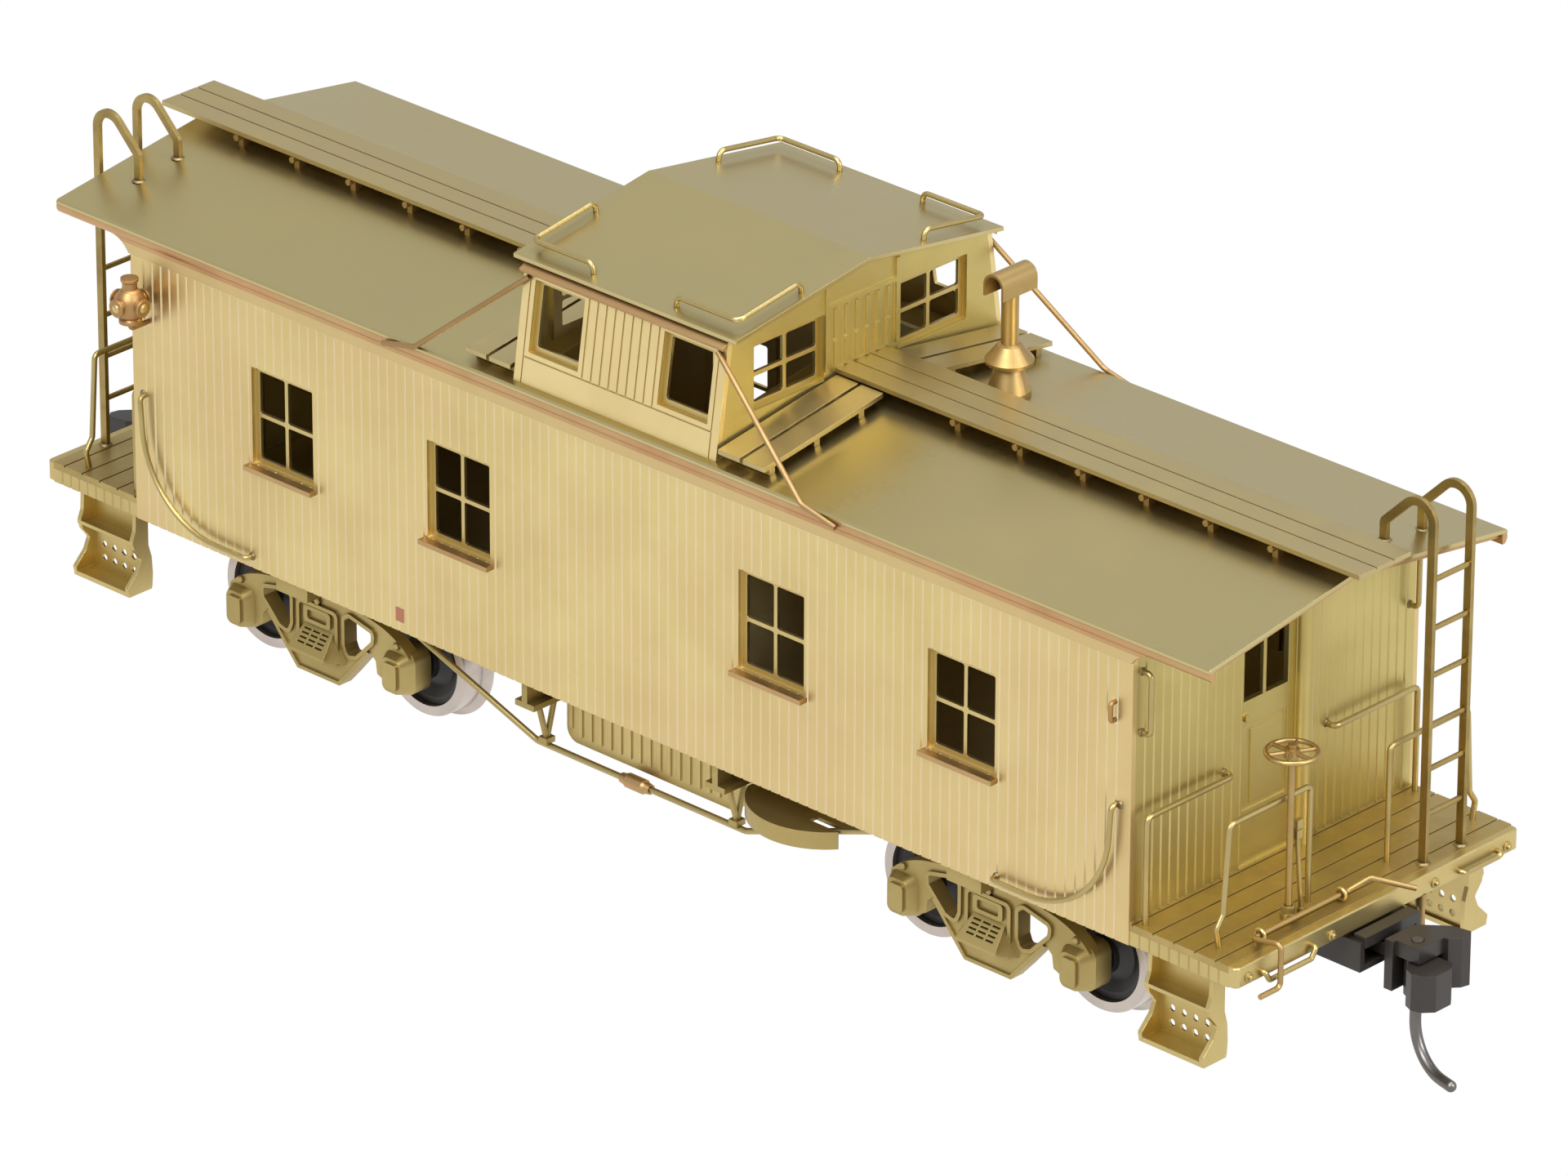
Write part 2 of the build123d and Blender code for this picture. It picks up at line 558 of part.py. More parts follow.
with BuildPart() as cupola_roof:
    plate(Plane.YZ.offset(-CUPOLA_ROOF_LENGTH / 2),
          [(-CUPOLA_ROOF_HALF, cupola_roof_under(CUPOLA_ROOF_HALF)), (-CUPOLA_ROOF_HALF, CUPOLA_ROOF_EDGE),
           (0, CUPOLA_ROOF_EDGE + CUPOLA_ROOF_RISE), (CUPOLA_ROOF_HALF, CUPOLA_ROOF_EDGE),
           (CUPOLA_ROOF_HALF, cupola_roof_under(CUPOLA_ROOF_HALF)), (0, cupola_roof_under(0))],
          CUPOLA_ROOF_LENGTH)
save("cupola_roof", cupola_roof.part)

side_light = sash(CUPOLA_SIDE_WINDOW[1] - CUPOLA_SIDE_WINDOW[0],
                  up_side(CUPOLA_SIDE_HEAD) - up_side(CUPOLA_SIDE_SILL), 1, 1)
end_light = sash(end_window_width, CUPOLA_END_HEAD - CUPOLA_END_SILL, 2, 2)
side_tilt = Plane(origin=(0, -cupola_side(CUPOLA_SIDE_SILL) + inner_shift, CUPOLA_SIDE_SILL),
                  x_dir=(1, 0, 0), z_dir=(0, lean_sin, lean_cos))
side_lights = [side_light.moved(side_tilt.location).moved(Location((sign * sum(CUPOLA_SIDE_WINDOW) / 2, 0, 0)))
               for sign in (-1, 1)]
end_lights = [end_light.rotate(Axis.Z, 90).moved(Location((cupola_face, y, CUPOLA_END_SILL)))
              for y in (-end_window_middle, end_window_middle)]
save("cupola_sashes", gather("cupola_sashes", mirrored(side_lights, Plane.XZ) + both_ends(end_lights)))

visor_top = CUPOLA_ROOF_EDGE - CUPOLA_ROOF_SHEET - 0.15
visor_drop = 0.35
visor_sheet = 0.25
with BuildPart() as right_visor:
    plate(Plane.YZ.offset(-CUPOLA_HALF),
          [(-cupola_side(visor_top), visor_top),
           (-cupola_side(visor_top) - VISOR_REACH, visor_top - visor_drop),
           (-cupola_side(visor_top) - VISOR_REACH + 0.1, visor_top - visor_drop - visor_sheet),
           (-cupola_side(visor_top - visor_sheet), visor_top - visor_sheet)], CUPOLA_LENGTH)
save("cupola_visors", gather("cupola_visors", mirrored([right_visor.part], Plane.XZ)))


def cupola_top(y):
    """Height of the cupola roof's upper face at a distance y from the centre line."""
    return cupola_roof_under(y) + CUPOLA_ROOF_SHEET


# Four corner grab rails stand on the cupola roof.
RAIL_RISE = 0.85
rail_corner_y = CUPOLA_ROOF_HALF - 1.2
rail_end_y = rail_corner_y - 7.0
rail_x = (4.5, 11.1)
corner_rail = bent_wire([(rail_x[0], -rail_corner_y, cupola_top(rail_corner_y)),
                         (rail_x[0], -rail_corner_y, cupola_top(rail_corner_y) + RAIL_RISE),
                         (rail_x[1], -rail_corner_y, cupola_top(rail_corner_y) + RAIL_RISE),
                         (rail_x[1], -rail_end_y, cupola_top(rail_end_y) + RAIL_RISE),
                         (rail_x[1], -rail_end_y, cupola_top(rail_end_y))], GRAB_WIRE, 0.6)
with BuildPart() as cupola_roof_wedge:
    plate(Plane.YZ.offset(-CUPOLA_ROOF_LENGTH / 2),
          [(-CUPOLA_ROOF_HALF, CUPOLA_ROOF_EDGE), (0, CUPOLA_ROOF_EDGE + CUPOLA_ROOF_RISE),
           (CUPOLA_ROOF_HALF, CUPOLA_ROOF_EDGE), (CUPOLA_ROOF_HALF, CUPOLA_ROOF_EDGE - 3),
           (-CUPOLA_ROOF_HALF, CUPOLA_ROOF_EDGE - 3)], CUPOLA_ROOF_LENGTH)
corner_rails = mirrored(mirrored([corner_rail - cupola_roof_wedge.part], Plane.XZ), Plane.YZ)
save("roof_grab_rails", gather("roof_grab_rails", corner_rails))

# Brace rods run from the cupola's eave corners down to the main roof's eaves.
BRACE_FOOT_X = 21.0
brace_top_y = cupola_side(visor_top - 0.9) + GRAB_WIRE / 2 + 0.02
brace_y = ROOF_HALF_WIDTH + GRAB_WIRE / 2 + 0.02
with BuildPart() as brace_rod:
    add(bent_wire([(CUPOLA_HALF - 0.8, -brace_top_y, visor_top - 0.9),
                   (BRACE_FOOT_X, -brace_y, ROOF_EDGE + 0.1), (BRACE_FOOT_X + 3.6, -brace_y, ROOF_EDGE - 0.7)],
                  GRAB_WIRE, 1.2))
save("brace_rods", gather("brace_rods", mirrored(mirrored([brace_rod.part], Plane.XZ), Plane.YZ)))

# ======================= smoke jack =======================
jack_pipe_top = JACK_TOP - CAP_WIDTH / 2 + 0.28
with BuildPart() as jack:
    with BuildSketch(Plane.XZ) as jack_profile:
        with BuildLine():
            Polyline((0, RAIL + 37.5), (1.75, RAIL + 37.5), (1.75, RAIL + 39.2), (1.2, RAIL + 40.7),
                     (0.9, RAIL + 41.4), (JACK_SKIRT_RADIUS - 0.05, RAIL + 41.45),
                     (JACK_SKIRT_RADIUS, RAIL + 41.75), (1.0, RAIL + 42.95), (JACK_RADIUS, RAIL + 43.1),
                     (JACK_RADIUS, jack_pipe_top), (0, jack_pipe_top), close=True)
        make_face()
    revolve(axis=Axis.Z)
with BuildPart() as jack_seated:
    add(jack.part.moved(Location((JACK_X, JACK_Y, 0))))
    plate(Plane.YZ.offset(JACK_X - 4),
          [(0, roof_top(0)), (HALF_WIDTH, roof_top(HALF_WIDTH)), (HALF_WIDTH, roof_top(0) - 9),
           (0, roof_top(0) - 9)], 8, Mode.SUBTRACT)
cap_radius = CAP_WIDTH / 2
with BuildPart() as jack_cap:
    with BuildSketch(Plane.XZ.offset(CAP_LENGTH / 2)) as cap_profile:
        with BuildLine():
            Polyline((-cap_radius, JACK_TOP - cap_radius), (-cap_radius, JACK_TOP - 2.0),
                     (-cap_radius + CAP_SHEET, JACK_TOP - 2.0),
                     (-cap_radius + CAP_SHEET, JACK_TOP - cap_radius))
            ThreePointArc((-cap_radius + CAP_SHEET, JACK_TOP - cap_radius), (0, JACK_TOP - CAP_SHEET),
                          (cap_radius - CAP_SHEET, JACK_TOP - cap_radius))
            Polyline((cap_radius - CAP_SHEET, JACK_TOP - cap_radius), (cap_radius - CAP_SHEET, JACK_TOP - 2.0),
                     (cap_radius, JACK_TOP - 2.0), (cap_radius, JACK_TOP - cap_radius))
            ThreePointArc((cap_radius, JACK_TOP - cap_radius), (0, JACK_TOP), (-cap_radius, JACK_TOP - cap_radius))
        make_face()
    extrude(amount=-CAP_LENGTH)
jack_shapes = [jack_seated.part, jack_cap.part.moved(Location((JACK_X, JACK_Y, 0)))]
save("smoke_jack", gather("smoke_jack", jack_shapes))

# ======================= end platforms =======================
deck_bottom = FLOOR_BOTTOM
half_deck = PLATFORM_WIDTH / 2
with BuildPart() as deck:
    block((HALF_LENGTH, DECK_END - BEAM_SHEET), (-half_deck, half_deck), (deck_bottom, DECK_TOP))
    for k in range(1, int(PLATFORM_LENGTH / PLANK_PITCH) + 1):
        x = DECK_END - k * PLANK_PITCH
        block((x - 0.08, x + 0.08), (-half_deck, half_deck), (DECK_TOP - 0.14, DECK_TOP), Mode.SUBTRACT)
save("platform_decks", gather("platform_decks", both_ends([deck.part])))

beam_face = DECK_END
beam_back = beam_face - BEAM_SHEET
beam_y = half_deck
beam_bottom = SIDE_BOTTOM + 0.1
LEVER_X = beam_face - 1.8
LEVER_Z = DECK_TOP + 0.55
LEVER_EYES = (-11.7, -2.4)
LEVER_WIRE = 0.45
EYE_CLEARANCE = 0.07
EYE_WIRE = 0.3
with BuildPart() as end_beam:
    block((beam_back, beam_face), (-half_deck, half_deck), (beam_bottom, DECK_TOP - 0.05))
    fillet(end_beam.edges().filter_by(Axis.Z).sort_by(Axis.X)[-2:], 0.45)
    fillet(end_beam.edges().group_by(Axis.Z)[-1].sort_by(Axis.X)[-1], 0.15)
sill_half = (beam_back - HALF_LENGTH) / 2
end_sill = grooved_strip(sill_half, beam_y, beam_y - SHEET, deck_bottom - SIDE_BOTTOM, SIDE_BOTTOM)
end_sill = end_sill.moved(Location((HALF_LENGTH + sill_half, 0, 0)))
eyes = []
for y in LEVER_EYES:
    with BuildPart() as lever_eye:
        with Locations((LEVER_X, y, LEVER_Z)):
            Torus(LEVER_WIRE / 2 + EYE_CLEARANCE + EYE_WIRE / 2, EYE_WIRE / 2, rotation=(90, 0, 0))
        block((LEVER_X - 1, LEVER_X + 1), (y - 1, y + 1), (DECK_TOP - 1, DECK_TOP), Mode.SUBTRACT)
    eyes.append(lever_eye.part)
front_beam = [end_beam.part] + mirrored([end_sill], Plane.XZ) + eyes
save("end_beams", gather("end_beams", both_ends(front_beam)))

# Steps: one folded sheet each, with two treads and a drilled riser.
step_x = (HALF_LENGTH + STEP_INNER, HALF_LENGTH + STEP_OUTER)
step_front = half_deck + 0.2
HOLE_PITCH = 1.17
riser_y = step_front - 2.3
with BuildPart() as step:
    for x in (step_x[0], step_x[1] - STEP_SHEET):
        with BuildSketch(Plane.YZ.offset(x)) as cheek:
            with BuildLine():
                Polyline((-step_front + 1.2, deck_bottom), (-step_front + 1.0, STEP_MIDDLE + 1.2),
                         (-step_front + 0.65, STEP_MIDDLE + 0.35), (-step_front + 0.85, STEP_MIDDLE - 0.5),
                         (-step_front + 1.65, STEP_MIDDLE - 1.5), (-step_front + 1.2, STEP_MIDDLE - 2.5),
                         (-step_front, STEP_BOTTOM + 0.8), (-step_front + 0.2, STEP_BOTTOM),
                         (-step_front + 2.75, STEP_BOTTOM), (-step_front + 2.85, STEP_BOTTOM + 1.4),
                         (-step_front + 2.75, STEP_MIDDLE - 1.6), (-step_front + 2.35, STEP_MIDDLE - 0.2),
                         (-step_front + 2.4, deck_bottom), close=True)
            make_face()
            fillet(cheek.vertices().sort_by(Axis.Y)[:-2], 0.3)
        extrude(cheek.sketch, amount=STEP_SHEET)
    block(step_x, (-step_front + 0.15, -step_front + 2.7), (STEP_BOTTOM, STEP_BOTTOM + STEP_SHEET))
    block(step_x, (-step_front + 0.65, -riser_y + 0.12), (STEP_MIDDLE, STEP_MIDDLE + STEP_SHEET * 0.8))
    block(step_x, (-riser_y - 0.12, -riser_y + 0.12), (STEP_BOTTOM, deck_bottom))
    with Locations(Plane(origin=((step_x[0] + step_x[1]) / 2, -riser_y, STEP_BOTTOM + 1.95),
                         x_dir=(1, 0, 0), z_dir=(0, -1, 0))):
        with GridLocations(HOLE_PITCH, 1.25, 4, 2):
            Cylinder(0.3, 1.0, mode=Mode.SUBTRACT)
save("steps", gather("steps", mirrored(mirrored([step.part], Plane.XZ), Plane.YZ)))

# ======================= ladders =======================
stile_x = beam_face - 1.4
hook_x = ROOF_HALF_LENGTH - 3.5
stiles = []
for y in LADDER_Y:
    with BuildPart() as stile:
        with BuildLine() as stile_line:
            FilletPolyline((stile_x, y, DECK_TOP), (stile_x, y, LADDER_TOP + 1.8),
                           (hook_x, y, LADDER_TOP - 3.0), (hook_x, y, roof_top(y - LADDER_STILE[1] / 2)),
                           radius=(1.5, 0.5))
        with BuildSketch(Plane(stile_line.line @ 0, x_dir=(1, 0, 0), z_dir=(0, 0, 1))):
            Rectangle(LADDER_STILE[0], LADDER_STILE[1])
        sweep()
    stiles.append(stile.part)
save("ladder_stiles", gather("ladder_stiles", both_ends(stiles)))

rungs = []
for height in RUNG_HEIGHTS:
    with BuildPart() as rung:
        rod((stile_x, LADDER_Y[0] + LADDER_STILE[1] / 2, RAIL + height),
            (stile_x, LADDER_Y[1] - LADDER_STILE[1] / 2, RAIL + height), RUNG_WIRE / 2)
    rungs.append(rung.part)
save("ladder_rungs", gather("ladder_rungs", both_ends(rungs)))

# ======================= railings and grab irons =======================
END_RAIL_X = HALF_LENGTH + 7.2
END_RAIL_TOP = RAIL + 22.7
KINK_HEIGHT = DECK_TOP + 2.5


def platform_railing(inner_y, outer_y):
    """Return one platform railing: a straight inner post and an outer post kinked at its foot."""
    out = 1 if outer_y > inner_y else -1
    railing = bent_wire([(END_RAIL_X, inner_y, DECK_TOP), (END_RAIL_X, inner_y, END_RAIL_TOP),
                      (END_RAIL_X, outer_y - 0.5 * out, END_RAIL_TOP),
                      (END_RAIL_X, outer_y, KINK_HEIGHT), (END_RAIL_X, outer_y + 0.75 * out, KINK_HEIGHT - 1.1),
                      (END_RAIL_X, outer_y + 0.4 * out, DECK_TOP - 0.2)], RAIL_WIRE, 0.5)
    return railing - deck.part


front_railings = [platform_railing(-4.2, -13.9), platform_railing(5.0, 14.6)]
save("end_railings", gather("end_railings", both_ends(front_railings)))

end_grab_x = HALF_LENGTH + 0.9
L_RAIL_Y = (5.9, 15.6)
L_RAIL_TOP = RAIL + 21.9
corner_iron = bent_wire([(HALF_LENGTH, -L_RAIL_Y[0], L_RAIL_TOP), (end_grab_x, -L_RAIL_Y[0], L_RAIL_TOP),
                         (end_grab_x, -L_RAIL_Y[1], L_RAIL_TOP), (end_grab_x, -L_RAIL_Y[1], DECK_TOP)],
                        RAIL_WIRE, 0.5)
d_iron_y = HALF_WIDTH - 1.1
d_iron = bent_wire([(HALF_LENGTH, -d_iron_y, RAIL + 28.7), (end_grab_x, -d_iron_y, RAIL + 28.7),
                    (end_grab_x, -d_iron_y, RAIL + 33.8), (HALF_LENGTH, -d_iron_y, RAIL + 33.8)],
                   GRAB_WIRE, 0.45)
side_grab_y = HALF_WIDTH + STAND_OFF
SWEEP_RADIUS = 8.3
side_iron = bent_wire([(HALF_LENGTH - 1.4, -HALF_WIDTH, RAIL + 22.6), (HALF_LENGTH - 1.4, -side_grab_y, RAIL + 22.6),
                       (HALF_LENGTH - 2.1, -side_grab_y, RAIL + 12.1), (HALF_LENGTH - 13.6, -side_grab_y, RAIL + 12.1),
                       (HALF_LENGTH - 13.6, -HALF_WIDTH, RAIL + 12.1)],
                      GRAB_WIRE, (0.45, SWEEP_RADIUS, 0.45))
beam_iron_x = beam_face + 0.45
beam_irons = [bent_wire([(beam_face, low, RAIL + 11.75), (beam_iron_x, low, RAIL + 11.75),
                         (beam_iron_x, low + 0.5, RAIL + 11.75 - drop), (beam_iron_x, high - 0.5, RAIL + 11.75 - drop),
                         (beam_iron_x, high, RAIL + 11.75), (beam_face, high, RAIL + 11.75)], GRAB_WIRE, 0.2)
              for low, high, drop in ((-13.6, -7.8, 0.8), (9.3, 13.9, 0.15))]
four_corners = mirrored(mirrored([corner_iron, d_iron, side_iron], Plane.XZ), Plane.YZ)
save("grab_irons", gather("grab_irons", four_corners + both_ends(beam_irons)))

# ======================= marker lamps =======================
LAMP_X = -(HALF_LENGTH - 1.9)
LAMP_Y = HALF_WIDTH + 1.95
LAMP_BASE = RAIL + 29.9
LAMP_RADIUS = 1.3
lens_height = LAMP_BASE + 1.65
with BuildPart() as lamp:
    with BuildSketch(Plane.XZ) as lamp_profile:
        with BuildLine():
            Polyline((0, LAMP_BASE), (0.95, LAMP_BASE), (0.95, LAMP_BASE + 0.3), (0.82, LAMP_BASE + 0.45))
            ThreePointArc((0.82, LAMP_BASE + 0.45), (LAMP_RADIUS, lens_height), (0.82, LAMP_BASE + 2.8))
            Polyline((0.82, LAMP_BASE + 2.8), (0.62, LAMP_BASE + 2.95), (0.62, LAMP_BASE + 3.55),
                     (0.74, LAMP_BASE + 3.65), (0.74, LAMP_BASE + 3.9), (0, LAMP_BASE + 3.95), (0, LAMP_BASE))
        make_face()
    revolve(axis=Axis.Z)
    for k in range(4):
        direction = Vector(cos(k * pi / 2), sin(k * pi / 2), 0)
        start = direction * 0.5 + Vector(0, 0, lens_height)
        rod(tuple(start), tuple(start + direction * 1.0), 0.62)
lamp_bracket = bent_wire([(LAMP_X, -HALF_WIDTH, LAMP_BASE - 0.6), (LAMP_X, -LAMP_Y, LAMP_BASE - 0.6),
                          (LAMP_X, -LAMP_Y, LAMP_BASE)], GRAB_WIRE, 0.3)
placed_lamp = lamp.part.moved(Location((LAMP_X, -LAMP_Y, 0)))
spare_bracket = bent_wire([(HALF_LENGTH - 1.7, -HALF_WIDTH, RAIL + 31.1),
                           (HALF_LENGTH - 1.7, -HALF_WIDTH - 0.55, RAIL + 31.1),
                           (HALF_LENGTH - 1.7, -HALF_WIDTH - 0.55, RAIL + 29.6),
                           (HALF_LENGTH - 1.7, -HALF_WIDTH, RAIL + 29.6)], 0.9 * GRAB_WIRE, 0.25)
lamp_set = mirrored([placed_lamp, lamp_bracket, spare_bracket], Plane.XZ)
save("marker_lamps", gather("marker_lamps", lamp_set))

# ======================= underframe =======================
with BuildPart() as floor_plate:
    block((-HALF_LENGTH + SHEET, HALF_LENGTH - SHEET), (-SIDE_BACK, SIDE_BACK), (FLOOR_BOTTOM, FLOOR_TOP))
save("floor_plate", floor_plate.part)

sill_bottom = FLOOR_BOTTOM - CENTRE_SILL_DEPTH
half_sill = CENTRE_SILL_WIDTH / 2
with BuildPart() as centre_sill:
    block((-beam_back, beam_back), (-half_sill, half_sill), (BOX_Z[1], FLOOR_BOTTOM))
    block((-HALF_LENGTH - BOX_START, HALF_LENGTH + BOX_START), (-half_sill, half_sill), (sill_bottom, FLOOR_BOTTOM))
save("centre_sill", centre_sill.part)

needle_y = HALF_WIDTH - SHEET - 0.1
POST_SPREAD = 1.0
post_foot = TRUSS_ROD_Z + TRUSS_WIRE / 2
with BuildPart() as needle_beam:
    block((NEEDLE_BEAM_X - 0.3, NEEDLE_BEAM_X + 0.3), (-needle_y, needle_y),
          (NEEDLE_BEAM_BOTTOM, FLOOR_BOTTOM))
    block((NEEDLE_BEAM_X - 1.05, NEEDLE_BEAM_X + 1.05), (-needle_y, needle_y),
          (NEEDLE_BEAM_BOTTOM, NEEDLE_BEAM_BOTTOM + 0.5))
    block((NEEDLE_BEAM_X - 2, NEEDLE_BEAM_X + 2), (-half_sill, half_sill), (sill_bottom, FLOOR_BOTTOM),
          Mode.SUBTRACT)
    for y in (-TRUSS_ROD_Y, TRUSS_ROD_Y):
        for lean_y in (-POST_SPREAD, POST_SPREAD):
            rod((NEEDLE_BEAM_X, y, post_foot + 0.2), (NEEDLE_BEAM_X, y + lean_y, NEEDLE_BEAM_BOTTOM + 0.1), 0.25)
        block((NEEDLE_BEAM_X - 0.45, NEEDLE_BEAM_X + 0.45), (y - 0.5, y + 0.5), (post_foot, post_foot + 0.5))
save("needle_beams", gather("needle_beams", both_ends([needle_beam.part])))

TRUSS_ANCHOR_X = 34.5
rod_bend_x = NEEDLE_BEAM_X + 1.0
truss_route = [(-TRUSS_ANCHOR_X, -TRUSS_ROD_Y, FLOOR_BOTTOM + 0.3), (-rod_bend_x, -TRUSS_ROD_Y, TRUSS_ROD_Z),
               (rod_bend_x, -TRUSS_ROD_Y, TRUSS_ROD_Z), (TRUSS_ANCHOR_X, -TRUSS_ROD_Y, FLOOR_BOTTOM + 0.3)]
with BuildPart() as truss_rod:
    add(bent_wire(truss_route, TRUSS_WIRE, 1.5))
    block((-TRUSS_ANCHOR_X - 2, TRUSS_ANCHOR_X + 2), (-TRUSS_ROD_Y - 1, -TRUSS_ROD_Y + 1),
          (FLOOR_BOTTOM, FLOOR_TOP + 2), Mode.SUBTRACT)
save("truss_rods", gather("truss_rods", mirrored([truss_rod.part], Plane.XZ)))

TURNBUCKLE_LENGTH = 3.2
with BuildPart() as turnbuckle:
    with BuildSketch(Plane.XY) as barrel:
        with BuildLine():
            Polyline((-TURNBUCKLE_LENGTH / 2, TRUSS_WIRE / 2 + 0.02), (-TURNBUCKLE_LENGTH / 2, 0.42), (-1.1, 0.5),
                     (-0.9, 0.62), (0.9, 0.62), (1.1, 0.5), (TURNBUCKLE_LENGTH / 2, 0.42),
                     (TURNBUCKLE_LENGTH / 2, TRUSS_WIRE / 2 + 0.02), close=True)
        make_face()
    revolve(axis=Axis.X)
turnbuckle_part = turnbuckle.part.moved(Location((-0.5, -TRUSS_ROD_Y, TRUSS_ROD_Z)))
save("turnbuckles", gather("turnbuckles", mirrored([turnbuckle_part], Plane.XZ)))

# The equipment box hangs beside the centre sill on the right, between the needle beams.
EQUIPMENT_HALF = 9.2
EQUIPMENT_Y = (-12.4, -8.0)
EQUIPMENT_BOTTOM = RAIL + 5.1
EQUIPMENT_RIBS = 17
RIB_DEPTH = 0.13
equipment_height = FLOOR_BOTTOM - EQUIPMENT_BOTTOM
with BuildPart() as equipment_box:
    with BuildSketch(Plane.XZ.offset(-EQUIPMENT_Y[1])) as box_end:
        with Locations((0, EQUIPMENT_BOTTOM + equipment_height / 2)):
            Rectangle(2 * EQUIPMENT_HALF, equipment_height)
        fillet(box_end.vertices().sort_by(Axis.Z)[:2], 1.2)
    extrude(box_end.sketch, amount=EQUIPMENT_Y[1] - EQUIPMENT_Y[0])
    for k in range(EQUIPMENT_RIBS):
        x = (k - (EQUIPMENT_RIBS - 1) / 2) * 2 * (EQUIPMENT_HALF - 0.5) / (EQUIPMENT_RIBS - 1)
        low = EQUIPMENT_BOTTOM + (0.7 if 0 < k < EQUIPMENT_RIBS - 1 else 1.2)
        block((x - 0.2, x + 0.2), (EQUIPMENT_Y[0] - RIB_DEPTH, EQUIPMENT_Y[0]), (low, FLOOR_BOTTOM))
save("equipment_box", equipment_box.part)

# A round-fronted pan hangs on two wires behind the right truss rod.
PAN_X = (11.2, 22.4)
PAN_Z = RAIL + 7.9
PAN_BACK = -10.5
PAN_BULGE = 5.8
pan_middle = (PAN_X[0] + PAN_X[1]) / 2
with BuildPart() as underfloor_pan:
    with BuildSketch(Plane.XY.offset(PAN_Z)) as pan_floor:
        with BuildLine():
            Polyline((PAN_X[0], PAN_BACK - 2.4), (PAN_X[0], PAN_BACK), (PAN_X[1], PAN_BACK),
                     (PAN_X[1], PAN_BACK - 2.4))
            ThreePointArc((PAN_X[1], PAN_BACK - 2.4), (pan_middle, PAN_BACK - PAN_BULGE),
                          (PAN_X[0], PAN_BACK - 2.4))
        make_face()
    extrude(amount=0.3)
    with BuildSketch(Plane.XY.offset(PAN_Z - 1.2)) as pan_skirt:
        add(pan_floor.sketch.moved(Location((0, 0, -PAN_Z))))
        offset(amount=-0.3, mode=Mode.SUBTRACT)
        with Locations((pan_middle, PAN_BACK)):
            Rectangle(PAN_X[1] - PAN_X[0] + 2, 2 * 3.0, mode=Mode.SUBTRACT)
    extrude(pan_skirt.sketch, amount=1.5)
    block((PAN_X[0] + 7.5, PAN_X[1] + 1), (-TRUSS_ROD_Y - 0.4, -TRUSS_ROD_Y + 0.4), (PAN_Z - 2, PAN_Z + 1),
          Mode.SUBTRACT)
    for x, y in ((13.0, -12.0), (17.0, -12.2)):
        rod((x, y, PAN_Z + 0.2), (x, y, FLOOR_BOTTOM), 0.22)
    with Locations((pan_middle, PAN_BACK - 2.2, PAN_Z)):
        Cylinder(0.35, 0.4, align=(Align.CENTER, Align.CENTER, Align.MAX))
save("underfloor_pan", underfloor_pan.part)

bolster_gap = BOLSTER_TOP + 0.06
with BuildPart() as body_bolster:
    block((TRUCK_CENTRE - 1.8, TRUCK_CENTRE + 1.8), (-needle_y, needle_y), (sill_bottom - 0.5, FLOOR_BOTTOM))
    block((TRUCK_CENTRE - 3, TRUCK_CENTRE + 3), (-half_sill, half_sill), (sill_bottom, FLOOR_BOTTOM),
          Mode.SUBTRACT)
    with Locations((TRUCK_CENTRE, 0, (sill_bottom + bolster_gap) / 2)):
        Cylinder(2.5, sill_bottom - bolster_gap)
        Cylinder(SCREW_RADIUS + 0.02, sill_bottom - bolster_gap, mode=Mode.SUBTRACT)
save("body_bolsters", gather("body_bolsters", both_ends([body_bolster.part])))

screw_seat = BOLSTER_TOP - BOLSTER_DEPTH - 0.06
with BuildPart() as king_screw:
    rod((TRUCK_CENTRE, 0, screw_seat - 0.4), (TRUCK_CENTRE, 0, sill_bottom), SCREW_RADIUS)
    rod((TRUCK_CENTRE, 0, screw_seat - 0.8), (TRUCK_CENTRE, 0, screw_seat), 1.2)
    block((TRUCK_CENTRE - 2, TRUCK_CENTRE + 2), (-0.15, 0.15), (screw_seat - 0.9, screw_seat - 0.45), Mode.SUBTRACT)
save("king_screws", gather("king_screws", both_ends([king_screw.part])))

# ======================= coupler boxes and air hoses =======================
box_x = (HALF_LENGTH + BOX_START, HALF_LENGTH + BOX_END)
pivot_x = HALF_LENGTH + COUPLER_PIVOT
with BuildPart() as coupler_box:
    block(box_x, (-BOX_HALF_WIDTH, BOX_HALF_WIDTH), (BOX_Z[0] + BOX_WALL, BOX_Z[1]))
    block((box_x[0] + BOX_WALL, box_x[1] + 1), (-BOX_HALF_WIDTH + BOX_WALL, BOX_HALF_WIDTH - BOX_WALL),
          (BOX_Z[0], BOX_Z[1] - BOX_WALL), Mode.SUBTRACT)
    rod((pivot_x, 0, BOX_Z[0] + BOX_WALL), (pivot_x, 0, BOX_Z[1]), PIVOT_POST)
    block((box_x[1] - 1.0, box_x[1] + 0.2), (-BOX_HALF_WIDTH + 0.4, BOX_HALF_WIDTH - 0.4),
          (BOX_Z[1] - BOX_WALL, BOX_Z[1] + 0.4))
with BuildPart() as box_lid:
    block(box_x, (-BOX_HALF_WIDTH, BOX_HALF_WIDTH), (BOX_Z[0], BOX_Z[0] + BOX_WALL))
    rod((pivot_x, 0, BOX_Z[0] - 0.45), (pivot_x, 0, BOX_Z[0]), 1.1)
    block((pivot_x - 2, pivot_x + 2), (-0.15, 0.15), (BOX_Z[0] - 1, BOX_Z[0] - 0.2), Mode.SUBTRACT)
save("coupler_boxes", gather("coupler_boxes", both_ends([coupler_box.part, box_lid.part])))

